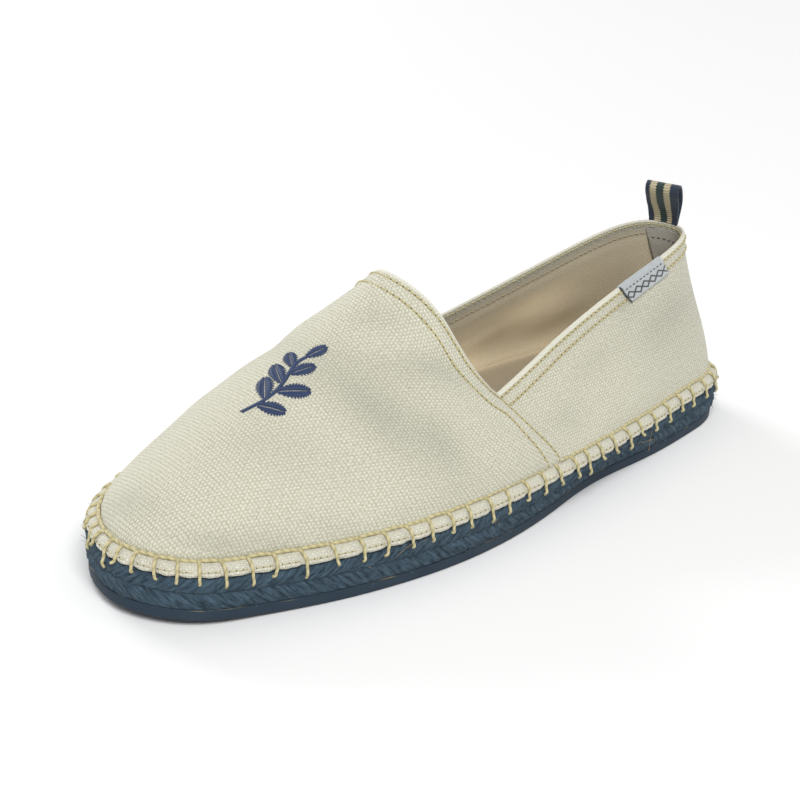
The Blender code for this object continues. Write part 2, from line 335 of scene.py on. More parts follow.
def beside(steps):
    """Unit directions to the right of these steps in a plane."""
    return unit(np.stack([steps[:, 1], -steps[:, 0]], axis=1))


def smooth_step(low, high, value):
    t = np.clip((value - low) / (high - low), 0, 1)
    return t * t * (3 - 2 * t)


@lru_cache
def sole_half(side):
    """One side's outline from toe tip to heel: places, outward directions and lengths along it."""
    y = LENGTH / 2 - OUTLINE["from_heel"] * LENGTH
    inner = np.stack([OUTLINE["inner"], y], axis=1)[::-1]
    outer = np.stack([-OUTLINE["outer"], y], axis=1)
    loop = curve_through([(TOE_TIP_X, -LENGTH / 2), *inner, (HEEL_BACK_X, LENGTH / 2), *outer], closed=True)
    along = np.roll(loop, -1, 0) - np.roll(loop, 1, 0)
    both = np.hstack([loop, beside(along)])
    heel = len(loop) // 2
    if side == INNER:
        half = both[: heel + 1]
    else:
        half = np.append(both[heel:], both[:1], axis=0)[::-1]
    return half, lengths_along(half[:, :2])


def sole_side(side, shares):
    """Points on one side's outline, by share of its length from the toe tip, and their outward directions."""
    half, lengths = sole_half(side)
    return read_between(np.asarray(shares) * lengths[-1], lengths, half)


def sole_places(rounds):
    """Places round the whole outline: 0 is the toe tip, 1 the heel by the inner side, 2 the toe again."""
    rounds = np.asarray(rounds) % 2
    inner = sole_side(INNER, np.clip(rounds, 0, 1))
    outer = sole_side(OUTER, np.clip(2 - rounds, 0, 1))
    return np.where((rounds <= 1)[:, None], inner, outer)


def loop_lengths():
    """Length of the inner half and of the whole outline."""
    inner, outer = sole_half(INNER)[1][-1], sole_half(OUTER)[1][-1]
    return inner, inner + outer


def lengths_at(rounds):
    """Length along the outline from the toe tip, by place round it."""
    return np.interp(rounds, [0, 1, 2], [0, *loop_lengths()])


def rounds_at(lengths):
    """Places round the outline by length from the toe tip, first down the inner side."""
    inner, whole = loop_lengths()
    lengths = np.asarray(lengths) % whole
    return np.where(lengths <= inner, lengths / inner, 1 + (lengths - inner) / (whole - inner))


def spring(y):
    """How far the toe lifts the sole off the floor at this place along it."""
    return TOE_SPRING * np.clip((SPRING_START_Y - y) / (LENGTH / 2 + SPRING_START_Y), 0, 1) ** 2


def arch_inset(places):
    """How far the inner side's lower edge is cut in under the arch."""
    cut = ARCH_INSET * np.exp(-(((places[:, 1] - ARCH_Y) / ARCH_REACH) ** 2))
    return np.where(places[:, 0] > 0, cut, 0.0)


def sweep(places, offsets, heights, arch=0.0):
    """A skin round the sole: places by profile points, with the arch's cut and the toe spring."""
    count = len(places)
    offsets = np.broadcast_to(offsets, (count, np.shape(offsets)[-1]))
    heights = np.broadcast_to(heights, offsets.shape)
    outwards = offsets - np.broadcast_to(arch, offsets.shape) * arch_inset(places)[:, None]
    at = places[:, None, :2] + places[:, None, 2:] * outwards[..., None]
    return np.concatenate([at, (heights + spring(at[..., 1]))[..., None]], axis=2)


def collar_curves(side):
    """The throat and the topline of one side, each a dense curve that starts at its front end."""
    mirror = np.array([-1.0, 1.0, 1.0])
    place = np.array([side, 1.0, 1.0])
    shift = np.array([COLLAR_SHIFT_X, 0.0, 0.0])
    throat = rows_of(THROAT, "x", "y", "z")
    topline = rows_of(TOPLINE, "x", "y", "z")
    whole_throat = curve_through([*(throat[:0:-1] * mirror), *throat])
    whole_topline = curve_through([*topline, *(topline[-2::-1] * mirror)])
    return (
        whole_throat[len(whole_throat) // 2 :] * place + shift,
        whole_topline[: len(whole_topline) // 2 + 1] * place + shift,
    )


def collar_at(side, places):
    """Collar points: 0 is the throat's centre, 1 the side corner and 2 the back of the heel."""
    throat, topline = collar_curves(side)
    front = at_shares(throat, np.clip(places, 0, 1))
    back = at_shares(topline, np.clip(places - 1, 0, 1))
    return np.where((places <= 1)[:, None], front, back)


def canvas_lines(side, feathers):
    """The four control points of each line up the canvas: foot, above it, below the collar, collar."""
    setting = {name: read_column(UPPER, "feather", name, feathers) for name in UPPER}
    places = sole_side(side, feathers)
    foot = sweep(places, [FEATHER_OFFSET], [FEATHER_HEIGHT])[:, 0]
    outward = np.column_stack([places[:, 2:], np.zeros(len(places))])
    flare = np.radians(setting["flare"])[:, None]
    above = foot + setting["rise"][:, None] * (UP * np.cos(flare) + outward * np.sin(flare))
    collar = collar_at(side, setting["collar"])
    heading = np.radians(setting["heading"])
    level = np.stack([side * np.sin(heading), -np.cos(heading), np.zeros(len(places))], axis=1)
    dip = np.radians(setting["dip"])[:, None]
    below = collar + setting["reach"][:, None] * (level * np.cos(dip) - UP * np.sin(dip))
    return foot, above, below, collar


def canvas_rows(side, feathers, rises):
    """Points up the canvas's outer face: one line for each feather place, or a place for every point."""
    shape = (len(feathers), -1, 3)
    foot, above, below, collar = (point.reshape(shape) for point in canvas_lines(side, feathers.ravel()))
    t = np.atleast_2d(rises)[..., None]
    return foot * (1 - t) ** 3 + 3 * above * t * (1 - t) ** 2 + 3 * below * t**2 * (1 - t) + collar * t**3


def outward_of(grid, closed):
    """Outward directions of a grid whose first axis runs from the toe down the inner side."""
    if closed:
        round_foot = np.roll(grid, -1, 0) - np.roll(grid, 1, 0)
    else:
        round_foot = np.gradient(grid, axis=0)
    return unit(np.cross(round_foot, np.gradient(grid, axis=1)))


# ---------------------------------------------------------------- the canvas as a fine skin

# Rows of topstitching, by distance from the edge that they follow.
HEM_ROWS = {"vamp": (2.3, 8.0), "quarter": (1.4, 5.5)}
SEAM_NEARER = 0.1
HEM_PUFF = 0.35
HEM_GROOVE = 0.12
HEM_GROOVE_WIDTH = 0.55
HEM_END = (0.3, 1.6)
HEM_ROUNDING = 1.2
CORNER_WIDER = 0.3
CORNER_REACH = 14.0
CREST_NARROWER = 0.25
CREST_REACH = 22.0
INSIDE_HEM = 4.6
RIM_TURN = 1.6
INSIDE_STITCHES = ((0.7, 0.35, 0.7), (4.2, 0.3, 0.55))
# Rows of the skin below the rim, and its columns along the sole: closer together near the stitched edges.
EDGE_DEPTHS = (
    0.0, 0.35, 0.7, 1.1, 1.5, 1.9, 2.3, 2.7, 3.1, 3.6, 4.2, 4.9, 5.6, 6.2, 6.6, 7.1, 7.6, 8.1, 8.6, 9.3,
)
FREE_ROWS = 42
RISES = 161
STATION_STEP = 1.5
SEAM_STEPS = np.arange(0.0, 9.1, 0.6)
BEHIND_SEAM = np.array([0.5, 1.1, 1.9])
QUARTER_START = 3.0
SEAM_ROLL = 0.9
LIFT_FADE = 2.0
CREASE_FADE = 6.0
ROW_STEP = 0.8
# The blanket stitch pulls the cloth in at its knots: how far, over what width and up to what height.
KNOT_PUCKER = 0.3
PUCKER_WIDTH = 1.7
PUCKER_HEIGHT = 4.0

# Soft creases in the cloth: place and direction on the panel's flat pattern, half length, half width and
# height, where a trough is below zero. From the middle line, across runs to the inner side on the vamp and
# to the outer side on the quarter; along runs to the throat on the vamp and to the rim on the quarter.
CREASES = {
    "vamp": columns("across along turn half_length half_width height", (
        (30.0, 78.0, 90.0, 25.0, 8.0, 0.9),
        (33.0, 95.0, 90.0, 25.0, 8.0, -1.7),
        (25.0, 112.5, 52.0, 14.0, 3.5, 0.5),
        (27.0, 104.5, 67.0, 15.0, 4.0, -0.5),
        (45.0, 121.0, 72.0, 12.0, 4.5, -0.9),
        (-34.0, 94.0, -84.0, 22.0, 6.5, -1.1),
        (-38.0, 110.0, -76.0, 18.0, 5.0, 0.5),
        (-46.0, 70.0, -55.0, 20.0, 6.0, 0.4),
        (20.0, 24.0, 38.0, 16.0, 4.0, 0.5),
        (9.0, 9.0, 62.0, 7.0, 2.2, -0.35),
        (16.0, 12.0, 55.0, 7.0, 1.8, 0.25),
        (33.0, 24.0, 62.0, 8.0, 2.4, -0.3),
        (-17.0, 15.0, -65.0, 9.0, 2.4, -0.3),
    )),
    "quarter": columns("across along turn half_length half_width height", (
        (-44.0, 31.0, 90.0, 19.0, 7.0, -1.2),
        (-86.0, 39.0, 84.0, 16.0, 4.5, -0.7),
        (-109.0, 25.0, 84.0, 12.0, 4.0, -0.6),
        (-76.0, 20.0, 96.0, 14.0, 5.0, 0.3),
        (52.0, 30.0, 92.0, 18.0, 7.0, -0.9),
        (92.0, 36.0, 96.0, 16.0, 5.0, -0.6),
    )),
}
# Painted shade in the cloth's folds and hollows: placed likewise, with the share of light that it takes off
# the colour.
FOLD_PAINTED_SHADES = {
    "vamp": columns("across along turn half_length half_width share", (
        (29.0, 88.0, 90.0, 27.0, 11.0, 0.21),
        (53.0, 95.0, 115.0, 12.0, 6.5, 0.13),
        (46.0, 117.5, 72.0, 13.0, 5.0, 0.12),
        (34.0, 113.0, 62.0, 11.0, 4.0, 0.1),
        (27.0, 104.5, 67.0, 16.0, 5.0, 0.1),
        (11.0, 115.0, 55.0, 10.0, 5.0, 0.1),
        (19.0, 55.0, 60.0, 20.0, 9.0, 0.07),
        (24.5, 16.5, 58.0, 12.0, 4.0, 0.19),
        (36.5, 31.0, 55.0, 11.0, 4.0, 0.14),
        (45.0, 48.0, 55.0, 13.0, 4.0, 0.08),
        (-7.0, 12.0, 80.0, 12.0, 7.0, 0.15),
        (-34.0, 92.0, -88.0, 22.0, 8.0, 0.1),
    )),
    "quarter": columns("across along turn half_length half_width share", (
        (-37.0, 34.0, 90.0, 25.0, 14.0, 0.16),
        (-60.0, 51.0, 90.0, 7.0, 5.0, 0.13),
        (-84.0, 41.0, 90.0, 15.0, 5.0, 0.07),
        (-116.0, 32.0, 90.0, 10.0, 5.0, 0.08),
        (52.0, 32.0, 92.0, 18.0, 8.0, 0.06),
    )),
}
# Painted shade on the lining, placed likewise on the quarter's pattern, and a painted pool of light where it
# is below zero.
LINING_PAINTED_LIGHT_AND_SHADE = columns("across along turn half_length half_width share", (
    (20.0, 38.0, 90.0, 20.0, 14.0, 0.27),
    (66.0, 41.0, 88.0, 15.0, 7.0, -0.62),
    (99.0, 31.0, 45.0, 11.0, 8.0, -0.28),
))
# Painted shade on the lining under the rim: the share of light taken off its colour, and how deep that
# reaches.
RIM_SHADE = 0.32
RIM_SHADE_DEPTHS = (2, 15)
# How far the canvas flares out at its foot, by place from the toe tip to the heel.
FLARE = columns("feather outwards", (
    (0.0, 0.3),
    (0.1, 0.1),
    (0.16, 0.1),
    (0.22, 0.3),
    (0.32, 0.8),
    (0.6, 0.9),
    (1.0, 0.9),
))
FLARE_HEIGHT = 2.6
# How the panels were cut: the vamp's warp closes up towards its wings and leans, the quarter's is bowed.
WARP_CLOSING = 0.19
WINGS_AT = 103
WINGS_END = 115
WARP_LEAN = 0.2
WEFT_LEAN = 0.12
QUARTER_BOW = 0.0009
QUARTER_SHORTENING = 700


@lru_cache
def knots():
    """Places of the blanket stitch's knots round the outline, evenly irregular."""
    whole = loop_lengths()[1]
    draw = np.random.default_rng(11)
    lengths = [FIRST_KNOT]
    while True:
        y = sole_places(rounds_at([lengths[-1]]))[0, 1]
        spacing = read_column(KNOT_SPACING, "y", "spacing", np.array([y]))[0]
        lengths.append(lengths[-1] + spacing * draw.uniform(*KNOT_UNEVENNESS))
        if lengths[-1] > whole - LAST_KNOT_SHARE * spacing:
            return rounds_at(lengths[:-1])


def from_knot(rounds):
    """Length along the outline from each place to the nearest knot."""
    whole = loop_lengths()[1]
    at = lengths_at(knots())
    away = np.abs(lengths_at(rounds)[:, None] - np.concatenate([at - whole, at, at + whole]))
    return away.min(axis=1)


def distance_to(curve, points):
    """Distance from each point to a polyline, and how far along it the nearest place is."""
    start, step = curve[:-1], np.diff(curve, axis=0)
    length = np.linalg.norm(step, axis=1)
    along = np.append(0, np.cumsum(length))[:-1]
    distances, places = [], []
    for block in np.array_split(points.reshape(-1, 3), max(1, points.size // 6000)):
        away = block[:, None] - start
        share = np.clip((away * step).sum(2) / np.maximum(length**2, 1e-9), 0, 1)
        gap = np.linalg.norm(away - share[..., None] * step, axis=2)
        nearest = gap.argmin(axis=1)
        row = np.arange(len(block))
        distances.append(gap[row, nearest])
        places.append(along[nearest] + share[row, nearest] * length[nearest])
    return [np.concatenate(found).reshape(points.shape[:-1]) for found in (distances, places)]


def side_stations():
    """Feather places of one side, closer together at the seam."""
    half = sole_half(INNER)[1][-1]
    vamp_end = SEAM_FEATHER - (SEAM_STEPS[-1] + STATION_STEP) / half
    vamp = np.linspace(0, vamp_end, int(vamp_end * half / STATION_STEP))
    seam = SEAM_FEATHER - SEAM_STEPS[::-1] / half
    near = SEAM_FEATHER + BEHIND_SEAM / half
    count = int((1 - SEAM_FEATHER) * half / STATION_STEP)
    quarter = np.linspace(SEAM_FEATHER + QUARTER_START / half, 1, count)
    return np.concatenate([vamp, seam, near, quarter])


def lines_of(side, stations):
    """Lines up the canvas from its foot, with rows at set depths, those depths, and where the feet stand."""
    even = np.linspace(0, 1, RISES)
    dense = canvas_rows(side, stations, even)
    steps = np.linalg.norm(np.diff(dense, axis=1), axis=2)
    above = np.concatenate([np.zeros((len(stations), 1)), np.cumsum(steps, axis=1)], axis=1)
    collar = read_column(UPPER, "feather", "collar", stations)
    scoop = read_column(THROAT_SCOOP, "collar", "inner" if side == INNER else "outer", collar)
    depth = above[:, -1:] - scoop[:, None] - above
    edge = np.array(EDGE_DEPTHS)
    free = edge[-1] + (depth[:, :1] - edge[-1]) * np.linspace(0, 1, FREE_ROWS + 1)[None, 1:]
    wanted = np.hstack([np.broadcast_to(edge, (len(stations), len(edge))), free])[:, ::-1]
    rises = np.stack([np.interp(w, d[::-1], even[::-1]) for w, d in zip(wanted, depth)])
    half = sole_half(side)[1][-1]
    sway = np.exp(-(((stations - SEAM_FEATHER) * half / SEAM_SWAY) ** 2))
    ahead = read_column(SEAM_AHEAD, "depth", "ahead", np.clip(wanted, 0, 60)) * sway[:, None]
    feathers = stations[:, None] - ahead / half
    return canvas_rows(side, feathers, rises), wanted, feathers[:, 0]


def flat_pattern(grid, middle):
    """The panel laid flat with the least stretch, in millimetres, with its middle line along V."""
    pick_columns = np.unique(np.append(np.arange(0, len(grid), 3), [middle, len(grid) - 1]))
    pick_rows = np.unique(np.append(np.arange(0, grid.shape[1], 3), grid.shape[1] - 1))
    coarse = grid[np.ix_(pick_columns, pick_rows)]
    bm = bmesh.new()
    add_skin(bm, coarse, np.zeros(coarse.shape[:2] + (2,)))
    mesh = mesh_from("pattern", bm)
    paper = bpy.data.objects.new("pattern", mesh)
    bpy.context.scene.collection.objects.link(paper)
    for other in bpy.context.selected_objects:
        other.select_set(False)
    paper.select_set(True)
    bpy.context.view_layer.objects.active = paper
    bpy.ops.object.mode_set(mode="EDIT")
    bpy.ops.mesh.select_all(action="SELECT")
    bpy.ops.uv.unwrap(method="MINIMUM_STRETCH", margin=0.0)
    bpy.ops.object.mode_set(mode="OBJECT")
    flat_of_loop = np.zeros(len(mesh.loops) * 2)
    mesh.uv_layers[0].data.foreach_get("uv", flat_of_loop)
    vertex_of_loop = np.zeros(len(mesh.loops), int)
    mesh.loops.foreach_get("vertex_index", vertex_of_loop)
    flat = np.zeros((len(mesh.vertices), 2))
    flat[vertex_of_loop] = flat_of_loop.reshape(-1, 2)
    bpy.data.objects.remove(paper)
    bpy.data.meshes.remove(mesh)
    flat = flat.reshape(len(pick_rows), len(pick_columns), 2).transpose(1, 0, 2)
    at = int(np.where(pick_columns == middle)[0][0])
    flat = flat - flat[at, 0]
    spans = [
        sum(np.linalg.norm(np.diff(sheet, axis=axis), axis=2).sum() for axis in (0, 1))
        for sheet in (coarse, flat)
    ]
    flat = flat * spans[0] / spans[1]
    along = unit(flat[at, -1])
    flat = np.stack([flat @ [along[1], -along[0]], flat @ along], axis=2)
    if flat[-1, 0, 0] < flat[0, 0, 0]:
        flat[..., 0] = -flat[..., 0]
    every_column, every_row = np.arange(len(grid)), np.arange(grid.shape[1])
    layers = [read_between(every_column, pick_columns, layer) for layer in flat.transpose(2, 0, 1)]
    return np.stack([read_between(every_row, pick_rows, layer.T).T for layer in layers], axis=2)


def thread_places(panel, flat):
    """Where the cloth's threads run on the pattern: X across the warp and Y along it, in millimetres.

    The vamp's warp runs from toe to throat and fans out at its wings; the quarter's runs round the foot.
    """
    across, along = flat[..., 0], flat[..., 1]
    if panel == "vamp":
        fan = 1 - WARP_CLOSING * (np.clip(along, 0, WINGS_END) / WINGS_AT) ** 4
        return np.stack([across * fan - WEFT_LEAN * along, along + WARP_LEAN * across], axis=-1)
    return np.stack([along + QUARTER_BOW * across**2, across * (1 - along / QUARTER_SHORTENING)], axis=-1)


def soft_strips(table, flat):
    """The sum of a table's soft strips at these places of a panel's flat pattern."""
    total = np.zeros(flat.shape[:2])
    for across, along, turn, half_length, half_width, most in zip(*table.values()):
        angle = np.radians(turn)
        away = flat - [across, along]
        lengthways = away @ [np.sin(angle), np.cos(angle)]
        sideways = away @ [np.cos(angle), -np.sin(angle)]
        total += most * np.exp(-((sideways / half_width) ** 2) - (lengthways / half_length) ** 2)
    return total


def wall_at(depth):
    """Thickness of the upper at this depth below its rim: full in the side, thin at the folded edge."""
    return WALL * (RIM_WALL + (1 - RIM_WALL) * smooth_step(0, FULL_WALL_DEPTH, depth))


def hem_relief(panel, distance):
    """The turned edge's thickness, pressed in along its two rows of stitching."""
    rows = HEM_ROWS[panel]
    relief = HEM_PUFF * (1 - smooth_step(rows[1] + HEM_END[0], rows[1] + HEM_END[1], distance))
    for row in rows:
        relief = relief - HEM_GROOVE * np.exp(-(((distance - row) / HEM_GROOVE_WIDTH) ** 2))
    return relief * smooth_step(0, HEM_ROUNDING, distance)


class Panel:
    """One panel of the canvas: its outer face, its distances from the stitched edge and its flat pattern."""

    def __init__(self, outside, outward, edge, edge_place, flat, bend):
        self.outside = outside
        self.outward = outward
        self.edge = edge
        self.edge_place = edge_place
        self.flat = flat
        self.bend = bend

    def row_at(self, distance):
        """The line that keeps this distance from the stitched edge, in order along it."""
        values = np.dstack([self.outside, self.outward, self.edge_place, self.edge])
        found = []
        for axis in (0, 1):
            lines = values.swapaxes(0, axis)
            before, after = lines[:-1], lines[1:]
            crossing = (before[..., 7] - distance) * (after[..., 7] - distance) < 0
            before, after = before[crossing], after[crossing]
            share = ((distance - before[:, 7]) / (after[:, 7] - before[:, 7]))[:, None]
            found.append(before * (1 - share) + after * share)
        found = np.vstack(found)
        found = found[found[:, 6].argsort()]
        even = np.arange(found[0, 6], found[-1, 6], ROW_STEP)
        line = read_between(even, found[:, 6], found[:, :6])
        padded = np.pad(line, ((3, 3), (0, 0)), mode="edge")
        line = sum(padded[i : i + len(line)] for i in range(7)) / 7
        return line[:, :3], unit(line[:, 3:])

    def at(self, places):
        """Points and outward directions on the surface, by place on the flat pattern."""
        flat = self.flat.reshape(-1, 2)
        pattern_steps = [np.gradient(self.flat, axis=axis).reshape(-1, 2) for axis in (0, 1)]
        point_steps = [np.gradient(self.outside, axis=axis).reshape(-1, 3) for axis in (0, 1)]
        points, normals = [], []
        for place in places:
            i = ((flat - place) ** 2).sum(1).argmin()
            to_steps = np.linalg.inv(np.stack([step[i] for step in pattern_steps], axis=1))
            surface = np.stack([step[i] for step in point_steps], axis=1)
            points.append(self.outside.reshape(-1, 3)[i] + surface @ (to_steps @ (place - flat[i])))
            normals.append(self.outward.reshape(-1, 3)[i])
        return np.array(points), np.array(normals)


@lru_cache
def canvas():
    """The whole canvas: both panels, the columns that they share and the inside."""
    stations = side_stations()
    inner, inner_depth, inner_feet = lines_of(INNER, stations)
    outer, outer_depth, outer_feet = lines_of(OUTER, stations)
    grid = np.vstack([inner, outer[-2:0:-1]])
    depth = np.vstack([inner_depth, outer_depth[-2:0:-1]])
    rounds = np.append(stations, 2 - stations[-2:0:-1])
    feet = np.append(inner_feet, 2 - outer_feet[-2:0:-1])
    feathers = np.where(rounds <= 1, rounds, 2 - rounds)
    outward = outward_of(grid, closed=True)
    above_foot = depth[:, :1] - depth
    inner_seam = int(np.abs(rounds - SEAM_FEATHER).argmin())
    outer_seam = int(np.abs(rounds - (2 - SEAM_FEATHER)).argmin())
    count = len(rounds)
    picks = {
        "vamp": np.arange(outer_seam, inner_seam + count + 1) % count,
        "quarter": np.arange(inner_seam, outer_seam + 1),
    }

    pucker = np.exp(-((from_knot(feet)[:, None] / PUCKER_WIDTH) ** 2) - above_foot / PUCKER_HEIGHT)
    lift = read_column(UPPER, "feather", "lift", np.minimum(feathers, SEAM_FEATHER))
    panels = {}
    for name, picked in picks.items():
        base, out = grid[picked], outward[picked]
        flat = flat_pattern(base, int(np.abs(feathers[picked] - (name == "quarter")).argmin()))
        bend = soft_strips(CREASES[name], flat) * smooth_step(0, CREASE_FADE, above_foot[picked])
        flare = read_column(FLARE, "feather", "outwards", feathers[picked])[:, None]
        relief = bend + flare * np.exp(-above_foot[picked] / FLARE_HEIGHT) - KNOT_PUCKER * pucker[picked]
        rim = base[:, -1]
        edge, place = distance_to(rim, base)
        to_seam = np.minimum(distance_to(base[0], base)[0], distance_to(base[-1], base)[0])
        rolled = np.clip(to_seam / SEAM_ROLL, 0, 1)
        raised = 0.0
        if name == "vamp":
            _, place = distance_to(np.vstack([base[0], rim[1:-1], base[-1, ::-1]]), base)
            corners = [np.linalg.norm(base - corner, axis=2) for corner in (rim[0], rim[-1])]
            wider = CORNER_WIDER * np.exp(-((np.minimum(*corners) / CORNER_REACH) ** 2))
            narrower = CREST_NARROWER * np.exp(-((flat[..., 0] / CREST_REACH) ** 2))
            edge = np.minimum(edge, to_seam + SEAM_NEARER) * (1 - wider + narrower)
            fade = np.clip(above_foot[picked] / LIFT_FADE, 0, 1)
            raised = lift[picked, None] * fade * np.sqrt(1 - (1 - rolled) ** 2)
        relief = (relief + hem_relief(name, edge)) * rolled + raised
        outside = base + out * relief[..., None]
        panels[name] = Panel(outside, outward_of(outside, closed=False), edge, place, flat, bend)
    return {
        "panels": panels, "columns": picks, "rounds": rounds,
        "grid": grid, "outward": outward, "depth": depth,
    }


# ---------------------------------------------------------------- making meshes


def add_skin(bm, points, flat, material_of_row=None):
    """Adds a bmesh grid moved to these points, with their places on the flat pattern as its UV map."""
    count, rows = points.shape[:2]
    made = bmesh.ops.create_grid(bm, x_segments=count - 1, y_segments=rows - 1, size=0.5)["verts"]
    layer = bm.loops.layers.uv.get("UVMap") or bm.loops.layers.uv.new("UVMap")
    places = points.transpose(1, 0, 2).reshape(-1, 3) * MM
    flats = flat.transpose(1, 0, 2).reshape(-1, 2).tolist()
    index = {}
    for i, (vertex, place) in enumerate(zip(made, places)):
        vertex.co = place
        index[vertex] = i
    faces = {face for vertex in made for face in vertex.link_faces}
    for face in faces:
        face.smooth = True
        row = 0
        for loop in face.loops:
            i = index[loop.vert]
            loop[layer].uv = flats[i]
            row = max(row, i // count)
        if material_of_row:
            face.material_index = material_of_row[row - 1]
    return made


def pattern(lengths, across):
    """Flat places of a swept skin: the length along it and the length across it."""
    return np.stack(np.meshgrid(lengths, across, indexing="ij"), axis=2)


def weld(bm, distance=0.002):
    bmesh.ops.remove_doubles(bm, verts=bm.verts[:], dist=distance * MM)


def closed_skin(points, flat):
    """A bmesh with this skin, welded along its seams, and with one face over each end that is left open."""
    bm = bmesh.new()
    add_skin(bm, points, flat)
    weld(bm)
    bmesh.ops.holes_fill(bm, edges=[edge for edge in bm.edges if edge.is_boundary], sides=0)
    return bm


def mesh_from(name, bm):
    mesh = bpy.data.meshes.new(name)
    bm.to_mesh(mesh)
    bm.free()
    return mesh


def piece_from(name, bm, *materials):
    """A finished piece on the shoe's body, from a bmesh."""
    mesh = mesh_from(name, bm)
    for material in materials:
        mesh.materials.append(material)
    piece = bpy.data.objects.new(name, mesh)
    bpy.context.scene.collection.objects.link(piece)
    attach(piece, "root")
    return piece


def tubes(name, paths, facing, width, height, material, sides=6):
    """Closed tubes along these paths as one joined mesh, by the half sizes of their section at each point."""
    rolled = np.linspace(0, 1, sides + 1)
    turn = 2 * np.pi * rolled[None, :, None]
    bm = bmesh.new()
    for path, face_out in zip(paths, facing):
        tangent = unit(np.gradient(path, axis=0))
        across = unit(np.cross(tangent, np.broadcast_to(face_out, path.shape)))
        out = np.cross(across, tangent)
        wide, high = (np.broadcast_to(size, len(path))[:, None, None] for size in (width, height))
        rings = path[:, None] + across[:, None] * np.cos(turn) * wide + out[:, None] * np.sin(turn) * high
        skin = np.pad(rings, ((1, 1), (0, 0), (0, 0)))
        for end, sign in ((0, -1), (-1, 1)):
            skin[end] = path[end] + sign * tangent[end] * high[end, 0] * 0.5
        along = np.pad(lengths_along(path), 1, mode="edge")
        add_skin(bm, skin, pattern(along, rolled))
    weld(bm, 0.0005)
    return piece_from(name, bm, material)


# A stitch: shares of its length where its path bends, how much of its height it has there, and where its
# needle hole starts and ends above the cloth.
STITCH_AT = np.array([-0.52, -0.34, 0.0, 0.34, 0.52])
STITCH_SHOULDER = 0.75
HOLE_HEIGHTS = np.array([[-0.4], [0.16]])
HOLE_SIZE = 0.34


def stitches_along(points, facing, pitch, filled=0.66, proud=0.3, sunk=0.25):
    """Paths of evenly spaced stitches along a line, the ways they face, and the same for their pinholes."""
    along = lengths_along(points)
    count = int(along[-1] / pitch)
    starts = (np.arange(count) + 0.5 * (along[-1] / pitch - count)) * pitch
    rise = np.array([-sunk, proud * STITCH_SHOULDER, proud, proud * STITCH_SHOULDER, -sunk])
    paths, facings, holes, hole_facings = [], [], [], []
    for start in starts:
        at = start + pitch * (0.5 + filled * STITCH_AT)
        out = unit(read_between(at, along, facing))
        paths.append(read_between(at, along, points) + out * rise[:, None])
        facings.append(out)
        hole_out = unit(read_between(start, along, facing))
        holes.append(read_between(start, along, points) + hole_out * HOLE_HEIGHTS)
        hole_facings.append(unit(np.cross(hole_out, UP + 0.01)))
    return paths, facings, holes, hole_facings


def stitched_rows(rows, pitch, **shape):
    """The stitches along several rows, gathered: their paths and facings, and those of their pinholes."""
    made = [stitches_along(points, facing, pitch, **shape) for points, facing in rows]
    return [sum(gathered, []) for gathered in zip(*made)]


# ---------------------------------------------------------------- materials

# Spacings of the yarns in the finer cloths, drawn a little coarser than they are so that they show.
DRILL_WARP = 0.62
DRILL_WEFT = 0.55
TAPE_WARP = 0.95
TAPE_WEFT = 0.8
# Thicker stretches of the warp's and the weft's yarns, by their number in a millimetre.
SLUBS = ((0.35, 0.035, 1.0), (0.03, 0.4, 1.0))
# Where the cement shows, by length up the outsole's section.
RUBBER_JOINT = (4.95, 5.05)
# The ribbon's ribs and its stripes, by distance from the middle of the green one, which lies off centre.
RIB_SPACING = 0.95
GREEN_HALF = 1.75
CREAM_END = 4.1
STRIPES_OFF_CENTRE = 0.75
# The satin's floats, drawn as coarse as they have to be to show.
SATIN_FLOAT = 0.35


def linear(code):
    """Linear red, green and blue from an sRGB hex value."""
    parts = [int(code[i : i + 2], 16) / 255 for i in (1, 3, 5)]
    return tuple(part / 12.92 if part <= 0.04045 else ((part + 0.055) / 1.055) ** 2.4 for part in parts)


def shown_output(node):
    return next(each for each in node.outputs if each.enabled)


def add(tree, kind, inputs=None, **settings):
    """Adds a node with its settings and links. An input may be a value, a socket or a node's shown output."""
    node = tree.nodes.new("ShaderNode" + kind)
    for name, value in settings.items():
        setattr(node, name, value)
    for key, value in (inputs or {}).items():
        if isinstance(key, int):
            socket = node.inputs[key]
        else:
            socket = next(each for each in node.inputs if each.enabled and each.name == key)
        if isinstance(value, bpy.types.Node):
            value = shown_output(value)
        if isinstance(value, bpy.types.NodeSocket):
            tree.links.new(value, socket)
        else:
            socket.default_value = (*value, 1.0) if socket.type == "RGBA" else value
    return node


def new_material(name, roughness, **inputs):
    """A material with one shader whose constant values are set on its own sockets."""
    material = bpy.data.materials.new(name)
    material.use_nodes = True
    tree = material.node_tree
    shader = tree.nodes["Principled BSDF"]
    shader.inputs["Roughness"].default_value = roughness
    for key, value in inputs.items():
        shader.inputs[key.replace("_", " ")].default_value = value
    return material, tree, shader


def plain_material(name, colour, roughness, **inputs):
    """A material in one colour, made once."""
    if name in bpy.data.materials:
        return bpy.data.materials[name]
    return new_material(name, roughness, Base_Color=(*colour, 1.0), **inputs)[0]


def cover(tree, shader, colour, height, strength, depth):
    """Gives the shader its colour and its relief, which stands depth millimetres high."""
    tree.links.new(shown_output(colour), shader.inputs["Base Color"])
    bump = add(tree, "Bump", {"Strength": strength, "Distance": depth * MM, "Height": height})
    tree.links.new(shown_output(bump), shader.inputs["Normal"])


